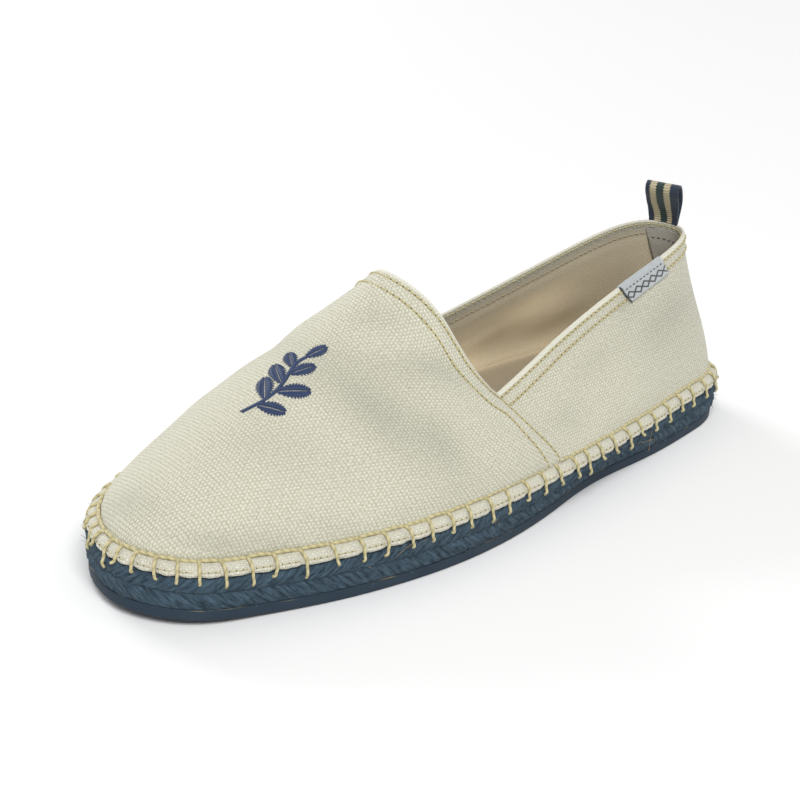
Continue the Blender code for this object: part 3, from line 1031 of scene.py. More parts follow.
def plain_weave(tree, where, warp, weft, wobble):
    """Height of a plain weave, 0 in its gaps and 1 on the crests, and where the warp, along Y, is on top."""
    drift = add(tree, "TexNoise", {"Vector": where, "Scale": 0.22, "Detail": 3.0})
    shift = add(tree, "Math", {0: drift, 1: 0.5}, operation="SUBTRACT")
    parts = add(tree, "SeparateXYZ", {0: where})
    waves, sizes = [], []
    for axis, pitch, bend in (("X", warp, wobble), ("Y", weft, wobble * 0.6)):
        turns = add(tree, "Math", {0: parts.outputs[axis], 1: math.pi / pitch}, operation="MULTIPLY")
        bent = add(tree, "Math", {0: shift, 1: bend, 2: turns}, operation="MULTIPLY_ADD")
        waves.append(add(tree, "Math", {0: bent}, operation="SINE"))
        sizes.append(add(tree, "Math", {0: waves[-1]}, operation="ABSOLUTE"))
    both = add(tree, "Math", {0: waves[0], 1: waves[1]}, operation="MULTIPLY")
    over = add(tree, "Math", {0: both, 1: 2.5, 2: 0.5}, operation="MULTIPLY_ADD", use_clamp=True)
    crests = []
    for across, along, top in ((0.8, 0.4, 1.0), (0.35, 0.9, 0.62)):
        first = add(tree, "Math", {0: sizes[0], 1: across}, operation="POWER")
        second = add(tree, "Math", {0: sizes[1], 1: along}, operation="POWER")
        crest = add(tree, "Math", {0: first, 1: second}, operation="MULTIPLY")
        crests.append(add(tree, "Math", {0: crest, 1: top}, operation="MULTIPLY"))
    height = add(tree, "Mix", {"Factor": over, "A": crests[1], "B": crests[0]}, data_type="FLOAT")
    return height, over


def woven(name, yarn, gap, warp, weft, depth, roughness, sheen,
          mottle=0.06, wobble=1.6, uneven=0.4, husk=None, grey=None):
    """A plain-woven cotton, by its colours, its yarns' spacings and its relief in millimetres."""
    material, tree, shader = new_material(name, roughness, Sheen_Weight=sheen, Sheen_Roughness=0.6)
    where = add(tree, "UVMap", uv_map="UVMap")
    height, over = plain_weave(tree, where, warp, weft, wobble)
    unevenness = []
    for scale in SLUBS:
        drawn_out = add(tree, "Mapping", {"Vector": where, "Scale": scale})
        unevenness.append(add(tree, "TexNoise", {"Vector": drawn_out, "Scale": 1.0, "Detail": 3.0}))
    unevenness.append(add(tree, "TexNoise", {"Vector": where, "Scale": 0.035, "Detail": 3.0}))
    fleck = add(tree, "TexNoise", {"Vector": where, "Scale": 1.1, "Detail": 1.0})
    pore = add(tree, "Math", {0: fleck, 1: 0.5}, operation="SUBTRACT")
    filled = add(tree, "Math", {0: pore, 1: uneven, 2: height}, operation="MULTIPLY_ADD", use_clamp=True)
    base = add(tree, "Mix", {"Factor": filled, "A": gap, "B": yarn}, data_type="RGBA")
    if husk:
        speck = add(tree, "TexVoronoi", {"Vector": where, "Scale": 0.085})
        near = add(tree, "MapRange", {"Value": speck.outputs["Distance"], "From Min": 0.036, "From Max": 0.02,
                                      "To Max": 0.6})
        base = add(tree, "Mix", {"Factor": near, "A": base, "B": husk}, data_type="RGBA")
    total = unevenness[0]
    for other in (*unevenness[1:], fleck):
        total = add(tree, "Math", {0: total, 1: other}, operation="ADD")
    level = add(tree, "Math", {0: total, 1: mottle, 2: 1.0 - 2.0 * mottle}, operation="MULTIPLY_ADD")
    raised = add(tree, "Math", {0: over, 1: 0.10, 2: 0.93}, operation="MULTIPLY_ADD")
    level = add(tree, "Math", {0: level, 1: raised}, operation="MULTIPLY")
    # The attribute darkens the colour as painted shade, and lightens it as painted light where it is below
    # zero.
    if grey:
        lost = add(tree, "Attribute", attribute_name=grey)
        kept = add(tree, "Math", {0: 1.0, 1: lost.outputs["Fac"]}, operation="SUBTRACT")
        level = add(tree, "Math", {0: level, 1: kept}, operation="MULTIPLY")
    colour = add(tree, "VectorMath", {0: base, "Scale": level}, operation="SCALE")
    grain = add(tree, "Math", {0: fleck, 1: 0.35, 2: height}, operation="MULTIPLY_ADD")
    cover(tree, shader, colour, grain, 1.0, depth)
    return material


def cotton_duck(sizes, colours):
    # Unbleached cotton duck, plain woven from plied yarn: matt, with bright crests and warm gaps.
    # Its colour takes the painted shade of its folds from the mesh.
    return woven("unbleached_cotton_duck", colours.canvas, colours.canvas_gap, sizes.warp_spacing / MM,
                 sizes.weft_spacing / MM, depth=0.18, roughness=0.9, sheen=0.12, wobble=1.8, uneven=1.1,
                 husk=colours.husk, grey="painted_shade_and_light")


def folded_duck(sizes, colours):
    # The duck where it folds over the rim: its yarns are rubbed flat, and its paler gaps are partly a painted
    # highlight along the rim.
    return woven("folded_cotton_duck", colours.canvas, colours.canvas_rubbed_lit_gaps, sizes.warp_spacing / MM,
                 sizes.weft_spacing / MM, depth=0.12, roughness=0.9, sheen=0.12, wobble=2.0)


def fine_drill(name, yarn, gap, grey=None):
    # Cotton drill inside the shoe, finer than the duck: soft and matt, its yarns hardly seen.
    return woven(name, yarn, gap, DRILL_WARP, DRILL_WEFT, depth=0.08, roughness=0.95, sheen=0.1, grey=grey)


def lining_drill(colours):
    # The lining's drill, dyed sand.
    # Its colour takes painted shade under the rim and a painted pool of light from the mesh.
    return fine_drill("sand_cotton_drill", colours.lining, colours.lining_gap, "painted_shade_and_light")


def facing_drill(colours):
    # The strip inside the rim: the same drill in a greyer, darker colour that holds painted shade from under
    # the rim, with more painted shade from the mesh.
    return fine_drill("facing_cotton_drill", colours.facing, colours.lining_gap, "painted_shade_and_light")


def patch_drill(colours):
    # The heel's reinforcing patch, the same drill in grey.
    return fine_drill("grey_cotton_drill", colours.patch, colours.patch_gap)


def insole_cotton(colours):
    # Brown cotton sock cloth over the insole, worn soft.
    # Its colour takes painted shade from the mesh.
    return fine_drill("insole_cotton_cloth", colours.insole, colours.insole_gap, "painted_shade_and_light")


def hem_tape(colours):
    # Bleached cotton tape: a dense crepe of short floats, whiter than the duck, with a ribbed surface.
    return woven("bleached_cotton_tape", colours.tape, colours.tape_gap, TAPE_WARP, TAPE_WEFT, depth=0.3,
                 roughness=0.9, sheen=0.15, mottle=0.09, wobble=6.0, uneven=1.6)


def spun_thread(name, colour, dark, roughness, twist, ply_depth, sheen=0.0):
    """A plied thread: its twist is a slanting groove that repeats every so many millimetres."""
    if name in bpy.data.materials:
        return bpy.data.materials[name]
    material, tree, shader = new_material(name, roughness, Sheen_Weight=sheen)
    where = add(tree, "UVMap", uv_map="UVMap")
    parts = add(tree, "SeparateXYZ", {0: where})
    round_thread = add(tree, "Math", {0: parts.outputs["Y"], 1: 2 * math.pi}, operation="MULTIPLY")
    turns = add(tree, "Math", {0: parts.outputs["X"], 1: 2 * math.pi / twist, 2: round_thread},
                operation="MULTIPLY_ADD")
    wave = add(tree, "Math", {0: turns}, operation="SINE")
    height = add(tree, "Math", {0: wave, 1: 0.5, 2: 0.5}, operation="MULTIPLY_ADD")
    fuzz = add(tree, "TexNoise", {"Vector": where, "Scale": 3.0, "Detail": 3.0})
    share = add(tree, "Math", {0: fuzz, 1: 0.5, 2: height}, operation="MULTIPLY_ADD", use_clamp=True)
    tone = add(tree, "Mix", {"Factor": share, "A": dark, "B": colour}, data_type="RGBA")
    cover(tree, shader, tone, height, 0.8, ply_depth)
    return material


def waxed_thread(colours):
    # Waxed cotton twine of the blanket stitch: ochre, softly shining, twisted from two plies.
    return spun_thread("waxed_ochre_twine", colours.twine, colours.twine_dark, roughness=0.65, twist=2.6,
                       ply_depth=0.06, sheen=0.1)


def fine_thread(name, colour, dark):
    # Spun polyester, fine and nearly matt.
    return spun_thread(name, colour, dark, roughness=0.6, twist=0.8, ply_depth=0.05)


def sewing_thread(colours):
    # Ochre topstitch thread.
    return fine_thread("ochre_sewing_thread", colours.sewing, colours.twine_dark)


def bobbin_thread(colours):
    # The bobbin's thread, seen inside: sand coloured, so that it hardly shows on the lining.
    return fine_thread("sand_sewing_thread", colours.bobbin, colours.twine_dark)


def pinhole_shadow(colours):
    # Needle holes: the dark between the yarns where a stitch goes in.
    return plain_material("needle_hole", colours.pinhole, 1.0, Specular_IOR_Level=0.0)


def embroidery_rayon(colours):
    # Rayon embroidery thread: navy, smooth and slightly lustrous along each stitch.
    return spun_thread("navy_rayon_thread", colours.motif, colours.motif_dark, roughness=0.45, twist=0.9,
                       ply_depth=0.05)


def dyed_jute(colours):
    # Dyed jute plait: navy, hairy and matt, streaked along every strand by its loose fibres.
    material, tree, shader = new_material("navy_dyed_jute", 1.0, Sheen_Weight=0.05, Specular_IOR_Level=0.1)
    where = add(tree, "UVMap", uv_map="UVMap")
    lengthways = add(tree, "Mapping", {"Vector": where, "Scale": (0.3, 3.0, 1.0)})
    fibre = add(tree, "TexNoise", {"Vector": lengthways, "Scale": 1.0, "Detail": 5.0, "Roughness": 0.7})
    coarse = add(tree, "Mapping", {"Vector": where, "Scale": (0.15, 0.9, 1.0)})
    bundle = add(tree, "TexNoise", {"Vector": coarse, "Scale": 1.0, "Detail": 3.0})
    both = add(tree, "Math", {0: fibre, 1: bundle}, operation="ADD")
    spread = add(tree, "MapRange", {"Value": both, "From Min": 0.76, "From Max": 1.3})
    tone = add(tree, "Mix", {"Factor": spread, "A": colours.jute_dark, "B": colours.jute_light},
               data_type="RGBA")
    stray = add(tree, "TexNoise", {"Vector": lengthways, "Scale": 2.3, "Detail": 2.0})
    gold = add(tree, "MapRange", {"Value": stray, "From Min": 0.72, "From Max": 0.8})
    shown = add(tree, "Mix", {"Factor": gold, "A": tone, "B": colours.jute_fleck}, data_type="RGBA")
    cover(tree, shader, shown, both, 1.0, 0.45)
    return material


def jute_hair(colours, pale):
    # Loose jute fibres: most took the dye, a few stayed straw coloured.
    if pale:
        return plain_material("straw_jute_hair", colours.jute_fleck, 0.8)
    return plain_material("navy_jute_hair", colours.jute_light, 0.8)


def moulded_rubber(colours):
    # Vulcanised rubber: slate, matt and finely grained, with cement squeezed out along the joint.
    material, tree, shader = new_material("slate_vulcanised_rubber", 0.7, Specular_IOR_Level=0.35)
    where = add(tree, "UVMap", uv_map="UVMap")
    parts = add(tree, "SeparateXYZ", {0: where})
    cloud = add(tree, "TexNoise", {"Vector": where, "Scale": 0.06, "Detail": 4.0})
    grain = add(tree, "TexNoise", {"Vector": where, "Scale": 2.5, "Detail": 2.0})
    dust = add(tree, "MapRange", {"Value": cloud, "From Min": 0.35, "From Max": 0.75})
    tone = add(tree, "Mix", {"Factor": dust, "A": colours.rubber, "B": colours.rubber_worn}, data_type="RGBA")
    stretch = add(tree, "Mapping", {"Vector": where, "Scale": (0.1, 1.4, 1.0)})
    broken = add(tree, "TexNoise", {"Vector": stretch, "Scale": 1.0, "Detail": 4.0})
    line = add(tree, "MapRange", {"Value": parts.outputs["Y"], "From Min": RUBBER_JOINT[0],
                                  "From Max": RUBBER_JOINT[1]})
    patchy = add(tree, "MapRange", {"Value": broken, "From Min": 0.58, "From Max": 0.68})
    cement = add(tree, "Math", {0: line, 1: patchy}, operation="MULTIPLY", use_clamp=True)
    shown = add(tree, "Mix", {"Factor": cement, "A": tone, "B": colours.cement}, data_type="RGBA")
    cover(tree, shader, shown, grain, 0.5, 0.08)
    return material


def grosgrain(colours):
    # Grosgrain ribbon: fine cross ribs, navy selvedges and two cream stripes either side of dark green.
    material, tree, shader = new_material("striped_grosgrain", 0.7, Sheen_Weight=0.15)
    where = add(tree, "UVMap", uv_map="UVMap")
    parts = add(tree, "SeparateXYZ", {0: where})
    turns = add(tree, "Math", {0: parts.outputs["Y"], 1: math.pi / RIB_SPACING}, operation="MULTIPLY")
    wave = add(tree, "Math", {0: turns}, operation="SINE")
    rib = add(tree, "Math", {0: wave}, operation="ABSOLUTE")
    centred = add(tree, "Math", {0: parts.outputs["X"], 1: STRIPES_OFF_CENTRE}, operation="ADD")
    middle = add(tree, "Math", {0: centred}, operation="ABSOLUTE")
    out = add(tree, "Math", {0: rib, 1: 0.45, 2: middle}, operation="MULTIPLY_ADD")
    past_green = add(tree, "Math", {0: out, 1: GREEN_HALF}, operation="GREATER_THAN")
    past_cream = add(tree, "Math", {0: out, 1: CREAM_END}, operation="GREATER_THAN")
    first = add(tree, "Mix", {"Factor": past_green, "A": colours.ribbon_green, "B": colours.ribbon_cream},
                data_type="RGBA")
    second = add(tree, "Mix", {"Factor": past_cream, "A": first, "B": colours.ribbon_navy}, data_type="RGBA")
    shade = add(tree, "Math", {0: rib, 1: 0.45, 2: 0.7}, operation="MULTIPLY_ADD")
    colour = add(tree, "VectorMath", {0: second, "Scale": shade}, operation="SCALE")
    cover(tree, shader, colour, rib, 1.0, 0.18)
    return material


def satin_ribbon(colours):
    # Polyester satin: silver white, with floats so fine that they only spread its highlight, and a woven-in
    # chain of dark lozenges.
    material, tree, shader = new_material("silver_satin_ribbon", 0.38, Sheen_Weight=0.2, Anisotropic=0.6)
    where = add(tree, "UVMap", uv_map="UVMap")
    parts = add(tree, "SeparateXYZ", {0: where})
    turns = add(tree, "Math", {0: parts.outputs["Y"], 1: 2 * math.pi / SATIN_FLOAT}, operation="MULTIPLY")
    wave = add(tree, "Math", {0: turns}, operation="SINE")
    cloud = add(tree, "TexNoise", {"Vector": where, "Scale": 0.3, "Detail": 3.0})
    level = add(tree, "Math", {0: cloud, 1: 0.2, 2: 0.9}, operation="MULTIPLY_ADD")
    zigzag = add(tree, "Math", {0: parts.outputs["X"], 1: LOZENGE_LENGTH / 2}, operation="PINGPONG")
    rise = add(tree, "Math", {0: zigzag, 1: LOZENGE_HEIGHT / LOZENGE_LENGTH}, operation="MULTIPLY")
    up = add(tree, "Math", {0: parts.outputs["Y"], 1: LOZENGE_MIDDLE}, operation="SUBTRACT")
    away = add(tree, "Math", {0: up}, operation="ABSOLUTE")
    off = add(tree, "Math", {0: away, 1: rise}, operation="SUBTRACT")
    off = add(tree, "Math", {0: off}, operation="ABSOLUTE")
    woven_in = add(tree, "MapRange", {"Value": off, "From Min": 0.56, "From Max": 0.44})
    tone = add(tree, "Mix", {"Factor": woven_in, "A": colours.satin, "B": colours.dark_thread},
               data_type="RGBA")
    colour = add(tree, "VectorMath", {0: tone, "Scale": level}, operation="SCALE")
    cover(tree, shader, colour, wave, 0.3, 0.05)
    return material


def dark_cotton(colours):
    # Matt grey sewing cotton, for the stitches in the heel's patch and in the label.
    return plain_material("grey_sewing_cotton", colours.dark_thread, 0.7)


def paper_floor(colours):
    # Matt white backdrop paper.
    return plain_material("white_backdrop_paper", colours.floor, 0.9)


# ---------------------------------------------------------------- pieces


# The upper's materials, and the rows of its inside by their number below the rim.
DUCK, FACING, LINING, FOLDED = range(4)
INSIDE_ROWS = (0, 2, 4, 6, 9, 11, 13, 14, 15, 17, 19)
# The fold over the rim: its steps, its height, how far past the rim its first row, its last row and the
# inside's first row lie on the pattern, and how many rows of the outside take its rubbed cloth with the
# painted highlight.
CROWN_STEPS = 6
CROWN_HEIGHT = 0.65
CROWN_SPAN = (0.4, 2.6, 3.0)
FOLDED_ROWS = 3
# How far the turned hem and its edge stand inwards, and over what depth they come in.
HEM_INWARDS = (0.25, 1.5)
TURN_INWARDS = (0.15, 0.8)


def build_upper(sizes, colours):
    """The canvas upper: one shell of outer cloth, rounded rim, turned hem and lining."""
    made = canvas()
    grid, outward, depth = made["grid"], made["outward"], made["depth"]
    rows = grid.shape[1]
    inside_rows = [rows - 1 - i for i in INSIDE_ROWS]
    inside_rows += list(range(inside_rows[-1] - 3, 0, -3)) + [0]
    turned = sum(depth[0, inside_rows] < RIM_TURN)
    faced = sum(depth[0, inside_rows] < INSIDE_HEM)
    angles = np.linspace(0, np.pi, CROWN_STEPS + 1)[1:-1]
    inside_from = 1 + rows + len(angles)
    row_materials = [DUCK] * (1 + rows - FOLDED_ROWS) + [FOLDED] * (len(angles) + FOLDED_ROWS)
    row_materials += [DUCK] * turned + [FACING] * (faced - turned) + [LINING] * (len(inside_rows) + 1 - faced)
    up = unit(grid[:, -1] - grid[:, -2])
    to_bottom = [0, 0, UPPER_BOTTOM - FEATHER_HEIGHT]
    bm = bmesh.new()
    # A layer of painted shade: the share of light taken off each vertex's colour, and painted light where it
    # is below zero.
    grey = bm.verts.layers.float.new("painted_shade_and_light")
    for name, panel in made["panels"].items():
        picked = made["columns"][name]
        base, out, below = grid[picked], outward[picked], depth[picked]
        inside = base + out * (panel.bend - wall_at(below))[..., None]
        inside[:, 0, 2] = base[:, 0, 2]
        for end, (inwards, reach) in ((INSIDE_HEM, HEM_INWARDS), (RIM_TURN, TURN_INWARDS)):
            inside = inside - out * (inwards * (below < end) * smooth_step(0, reach, below))[..., None]
        inside = inside[:, inside_rows]
        rim_out, rim_in = panel.outside[:, -1], inside[:, 0]
        middle, radius = (rim_out + rim_in) / 2, (rim_out - rim_in) / 2
        crown = np.stack([
            middle + radius * np.cos(angle) + up[picked] * np.sin(angle) * CROWN_HEIGHT for angle in angles
        ], axis=1)
        foot_out, foot_in = panel.outside[:, :1] + to_bottom, inside[:, -1:] + to_bottom
        points = np.concatenate([foot_out, panel.outside, crown, inside, foot_in, foot_out], axis=1)
        over_rim = unit(panel.flat[:, -1] - panel.flat[:, -3])[:, None]
        beyond = np.concatenate([
            np.linspace(*CROWN_SPAN[:2], len(angles)), CROWN_SPAN[2] + below[0, inside_rows], [0, 0],
        ])
        flat = np.concatenate([
            panel.flat[:, :1], panel.flat, panel.flat[:, -1:] + over_rim * beyond[:, None],
        ], axis=1)
        skin = add_skin(bm, points, thread_places(name, flat), row_materials)
        # Painted shade in the folds of the outside.
        painted_shades = np.zeros(points.shape[:2])
        painted_shades[:, 1 : 1 + rows] = soft_strips(FOLD_PAINTED_SHADES[name], panel.flat)
        # Inside: painted shade under the rim, and on the quarter's lining painted shade and a painted pool of
        # light.
        shade = RIM_SHADE * (1 - smooth_step(*RIM_SHADE_DEPTHS, below))
        if name == "quarter":
            shade = shade + soft_strips(LINING_PAINTED_LIGHT_AND_SHADE, panel.flat)
        painted_shades[:, inside_from : inside_from + len(inside_rows)] = shade[:, inside_rows]
        for vertex, value in zip(skin, painted_shades.T.ravel()):
            vertex[grey] = value
    weld(bm)
    piece = piece_from("canvas_upper", bm, cotton_duck(sizes, colours), facing_drill(colours),
                       lining_drill(colours), folded_duck(sizes, colours))
    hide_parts("upper")


# The sprig: leaves along a stem, by place on it, side, length, half width and angle from the stem.
SPRIG_PLACE = (4.5, -76.0)
SPRIG_STEM = columns("across along", ((-1.5, -17.0), (1.2, -8.0), (1.0, 1.0), (-0.8, 9.0), (-0.2, 13.0)))
SPRIG_LEAVES = columns("share side length half_width angle", (
    (0.16, 1, 9.5, 2.3, 52.0),
    (0.27, -1, 10.5, 2.5, 50.0),
    (0.42, 1, 11.0, 2.5, 48.0),
    (0.54, -1, 10.5, 2.4, 46.0),
    (0.69, 1, 9.5, 2.2, 42.0),
    (0.80, -1, 8.5, 2.0, 38.0),
    (1.00, 1, 8.5, 2.0, 2.0),
))
LEAF_UNEVENNESS = 0.12
LEAF_SLANT = 0.55
MIDRIB_GAP = 0.16
STEM_STITCHES = 76
STEM_HALF_WIDTH = 0.55
STEM_UNEVENNESS = 0.1
# Satin stitches: their spacing, their thread's half sizes, and share of their length with height there.
SATIN_STEP = 0.46
SATIN_THREAD = (0.26, 0.2)
SATIN_ARC = ((0.0, -0.15), (0.15, 0.2), (0.5, 0.3), (0.85, 0.2), (1.0, -0.15))


def satin_leaf(root, length, half_width, angle):
    """Stitches of one leaf on the pattern: each half slants from the midrib out to the leaf's edge."""
    axis = np.array([np.sin(angle), np.cos(angle)])
    across = np.array([axis[1], -axis[0]])
    stitches = []
    for step, share in enumerate(np.arange(0.06, 0.97, SATIN_STEP / length)):
        width = half_width * np.sin(np.pi * share**0.85) ** 0.8 * (1 + LEAF_UNEVENNESS * (-1) ** step)
        rib = root + axis * share * length
        for side in (1, -1):
            start = rib + across * side * MIDRIB_GAP
            end = rib + across * side * (0.2 + width) + axis * width * LEAF_SLANT
            stitches.append((start, end))
    return stitches


def sprig_stitches():
    """Start and end of every stitch of the sprig on the pattern, first its leaves' and then its stem's."""
    stem = curve_through(rows_of(SPRIG_STEM, "across", "along"))
    stitches = []
    for share, side, length, half_width, angle in zip(*SPRIG_LEAVES.values()):
        root = at_shares(stem, [share])[0]
        near = at_shares(stem, [share - 0.03, min(share + 0.03, 1.0)])
        heading = np.arctan2(*(near[1] - near[0]))
        stitches += satin_leaf(root, length, half_width, heading + side * np.radians(angle))
    for step, share in enumerate(np.linspace(0, 1, STEM_STITCHES)):
        here, ahead = at_shares(stem, [share, min(share + 0.02, 1.0)])
        heading = unit(ahead - here) if share < 1 else np.array([0.0, 1.0])
        across = np.array([heading[1], -heading[0]])
        half = STEM_HALF_WIDTH + STEM_UNEVENNESS * (-1) ** step
        stitches.append((here - across * half - heading * 0.3, here + across * half + heading * 0.3))
    return stitches


def build_embroidery(sizes, colours):
    """The navy sprig on the vamp, in satin stitch."""
    panel = canvas()["panels"]["vamp"]
    away = np.linalg.norm(panel.outside[..., :2] - SPRIG_PLACE, axis=2) - panel.outside[..., 2] * 0.01
    centre = panel.flat.reshape(-1, 2)[away.argmin()]
    shares, rises = np.array(SATIN_ARC).T[..., None]
    paths, facing = [], []
    for start, end in sprig_stitches():
        points, normals = panel.at(start + (end - start) * shares + centre)
        paths.append(points + normals * rises)
        facing.append(normals)
    piece = tubes("sprig_embroidery", paths, facing, *SATIN_THREAD, embroidery_rayon(colours))


def build_topstitching(sizes, colours):
    """The double rows of topstitching along throat, seams and topline, with their needle holes."""
    pitch, thread = sizes.stitch_length / MM, sizes.stitch_thread / MM / 2
    made = canvas()
    rows = [panel.row_at(distance) for name, panel in made["panels"].items() for distance in HEM_ROWS[name]]
    paths, facing, holes, hole_facing = stitched_rows(rows, pitch)
    piece = tubes("topstitching", paths, facing, thread, thread, sewing_thread(colours))
    inside = (("rim_stitches", sewing_thread(colours)), ("bobbin_stitches", bobbin_thread(colours)))
    for (name, material), (depth, stand, share) in zip(inside, INSIDE_STITCHES):
        row = np.abs(made["depth"][0] - depth).argmin()
        rows = []
        for panel, picked in made["columns"].items():
            inward = -made["outward"][picked, row]
            away = wall_at(depth) + stand - made["panels"][panel].bend[:, row, None]
            rows.append((made["grid"][picked, row] + inward * away, inward))
        paths, facing, _, _ = stitched_rows(rows, pitch, proud=0.08)
        tubes(name, paths, facing, thread * share, thread * share, material)
    piece = tubes("needle_holes", holes, hole_facing, HOLE_SIZE, HOLE_SIZE, pinhole_shadow(colours))


def band_places(step):
    """Places round the sole's outline, an even step apart, and their lengths along it."""
    whole = loop_lengths()[1]
    lengths = np.linspace(0, whole, int(whole / step) + 1)
    return sole_places(rounds_at(lengths)), lengths


# The hem band: how far the cloth puffs out between the knots, over what length from one, how far each knot
# pulls it in, its unevenness and crinkle, and its row of stitches.
BAND_STEP = 0.9
BAND_PUFF = (0.5, 0.3, 3.0)
BAND_PULL = (0.4, 1.5)
BAND_UNEVENNESS = 0.16
BAND_UNEVEN_STEPS = 330
BAND_CRINKLE = 0.05
BAND_STITCH = 2.3
BAND_STITCH_HEIGHT = 17.1
BAND_THREAD = 0.14
BAND_HOLE = 0.24
CLEAR_OF_KNOT = 1.1


def build_hem_band(sizes, colours):
    """The folded hem band over the canvas's foot, pulled in where the blanket stitch crosses it."""
    places, lengths = band_places(BAND_STEP)
    profile = curve_through(rows_of(BAND, "offset", "height"), closed=True, steps=3)
    out = beside(np.roll(profile, 1, 0) - np.roll(profile, -1, 0))
    shown = smooth_step(-1.2, 0.4, profile[:, 0]) * np.clip(out @ [0.9, 0.3] + 0.2, 0.3, 1)
    away = from_knot(rounds_at(lengths))
    puff = BAND_PUFF[0] * smooth_step(*BAND_PUFF[1:], away)
    pull = BAND_PULL[0] * (1 - smooth_step(0.0, BAND_PULL[1], away))
    draw = np.random.default_rng(5)
    thickenings = draw.uniform(-BAND_UNEVENNESS, BAND_UNEVENNESS, BAND_UNEVEN_STEPS)
    uneven = np.interp(lengths, np.linspace(0, lengths[-1], BAND_UNEVEN_STEPS), thickenings)
    crinkle = draw.normal(0, BAND_CRINKLE, (len(lengths), len(profile)))
    crinkle[-1] = crinkle[0]
    relief = ((puff - pull + uneven)[:, None] + crinkle) * shown
    points = sweep(places, profile[:, 0] + relief * out[:, 0], profile[:, 1] + relief * out[:, 1])
    points = np.concatenate([points, points[:, :1]], axis=1)
    across = lengths_along(np.vstack([profile, profile[:1]]))
    bm = bmesh.new()
    add_skin(bm, points, pattern(lengths, across))
    weld(bm)
    bmesh.ops.recalc_face_normals(bm, faces=bm.faces[:])
    piece = piece_from("hem_band_tape", bm, hem_tape(colours))
    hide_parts("hem_band")
    outer_side = profile[:, 0] >= 0
    row = np.where(outer_side, np.abs(profile[:, 1] - BAND_STITCH_HEIGHT), np.inf).argmin()
    outward = unit(np.column_stack([places[:, 2:] * out[row, 0], np.full(len(places), out[row, 1])]))
    paths, facing, holes, hole_facing = stitches_along(
        points[:, row], outward, BAND_STITCH, filled=0.8, proud=0.1)
    clear = [i for i, path in enumerate(paths) if from_knot(rounds_of(path[2:3]))[0] > CLEAR_OF_KNOT]
    for name, lines, facings, size, material in (
        ("band_stitching", paths, facing, BAND_THREAD, sewing_thread(colours)),
        ("band_needle_holes", holes, hole_facing, BAND_HOLE, pinhole_shadow(colours)),
    ):
        piece = tubes(name, [lines[i] for i in clear], [facings[i] for i in clear], size, size, material)


def rounds_of(points):
    """Places round the outline nearest to these points."""
    rounds = np.linspace(0, 2, 1500)
    places = sole_places(rounds)[:, :2]
    return np.array([rounds[((places - point[:2]) ** 2).sum(1).argmin()] for point in np.atleast_2d(points)])


# A leg of the blanket stitch: down over the band and the rope, by offset and height.
LEG = columns("offset height", (
    (-1.0, 19.5),
    (-0.2, 19.35),
    (0.75, 18.65),
    (1.55, 17.6),
    (2.0, 16.4),
    (2.1, 15.2),
    (2.45, 13.9),
    (2.95, 12.6),
    (2.2, 11.2),
))


# The thread between two legs: its offset and height over the band, how far it bows, and how far its start
# dips under the knot. Each leg leans, curves and, below its turn, reaches down between these limits.
RUN_POINTS = 9
RUN_OFFSET = -1.7
RUN_HEIGHT = 19.35
RUN_BOW = (0.2, 0.45, 0.25)
RUN_DIP = 0.7
RUN_OVERLAP = 0.3
LEG_VARIETY = ((-1.4, 1.6), (-0.5, 1.0), (0.2, 1.0))
LEG_TURN = 15.4
LEG_TAPER = (0.92, 0.75)


def build_blanket_stitch(sizes, colours):
    """The ochre blanket stitch: each thread runs along the band's upper edge and turns down over it."""
    draw = np.random.default_rng(23)
    at = lengths_at(knots())
    after = np.append(at[1:], at[0] + loop_lengths()[1])
    leg = curve_through(rows_of(LEG, "offset", "height"), steps=2)
    down = np.linspace(0, 1, len(leg))
    bow = np.sin(np.pi * np.linspace(0, 1, RUN_POINTS))
    paths, facing = [], []
    for start, end in zip(at, after):
        run = np.linspace(start - RUN_OVERLAP, end, RUN_POINTS)
        heights = RUN_HEIGHT + (RUN_BOW[1] + RUN_BOW[2] * draw.uniform(-1, 1)) * bow
        heights[0] -= RUN_DIP
        lean, curve, reach = (draw.uniform(*limits) for limits in LEG_VARIETY)
        leg_lengths = end + lean * down**1.4 + curve * np.sin(np.pi * down)
        stretch = np.where(leg[:, 1] < LEG_TURN, LEG_TURN + (leg[:, 1] - LEG_TURN) * reach, leg[:, 1])
        places = sole_places(rounds_at(np.concatenate([run, leg_lengths])))
        offset = np.concatenate([RUN_OFFSET + RUN_BOW[0] * bow, leg[:, 0]])[:, None]
        height = np.concatenate([heights, stretch])[:, None]
        paths.append(sweep(places, offset, height)[:, 0])
        facing.append(unit(np.column_stack([places[:, 2:], np.full(len(places), 0.6)])))
    size = sizes.twine / MM / 2
    thickness = size * np.concatenate([np.ones(RUN_POINTS), np.linspace(*LEG_TAPER, len(leg))])
    piece = tubes("blanket_stitch", paths, facing, thickness, thickness, waxed_thread(colours), sides=8)


# The plait: how far its strands lean and stand out, its roughness, the groove between its two rows, where it
# turns smooth at its foot and its top, and how far apart the two rows lie on the pattern.
ROPE_STEP = 0.75
STRAND_LEAN = 1.1
STRAND_RELIEF = 0.35
ROPE_ROUGHNESS = 0.15
WAIST_GROOVE = (0.2, 0.8)
ROPE_FOOT = (2.4, 3.8)
ROPE_TOP = (2.5, 4.5)
UPPER_ROW_SHIFT = 40.0
# The loose fibres: the heights that they grow from, how many there are to a long one, for each kind its least
# and most length and stand, its bend and its share of undyed ones, and their half thickness to the tip.
HAIR_HEIGHTS = (4.8, 15.6)
LONG_HAIR_EVERY = 45
SHORT_HAIRS = ((1.2, 3.6), (0.0, 0.16), 1.2, 0.05)
LONG_HAIRS = ((6.0, 10.0), (0.1, 0.3), 2.2, 0.5)
HAIR_TAPER = np.array([0.05, 0.06, 0.06, 0.06, 0.055, 0.045, 0.02])


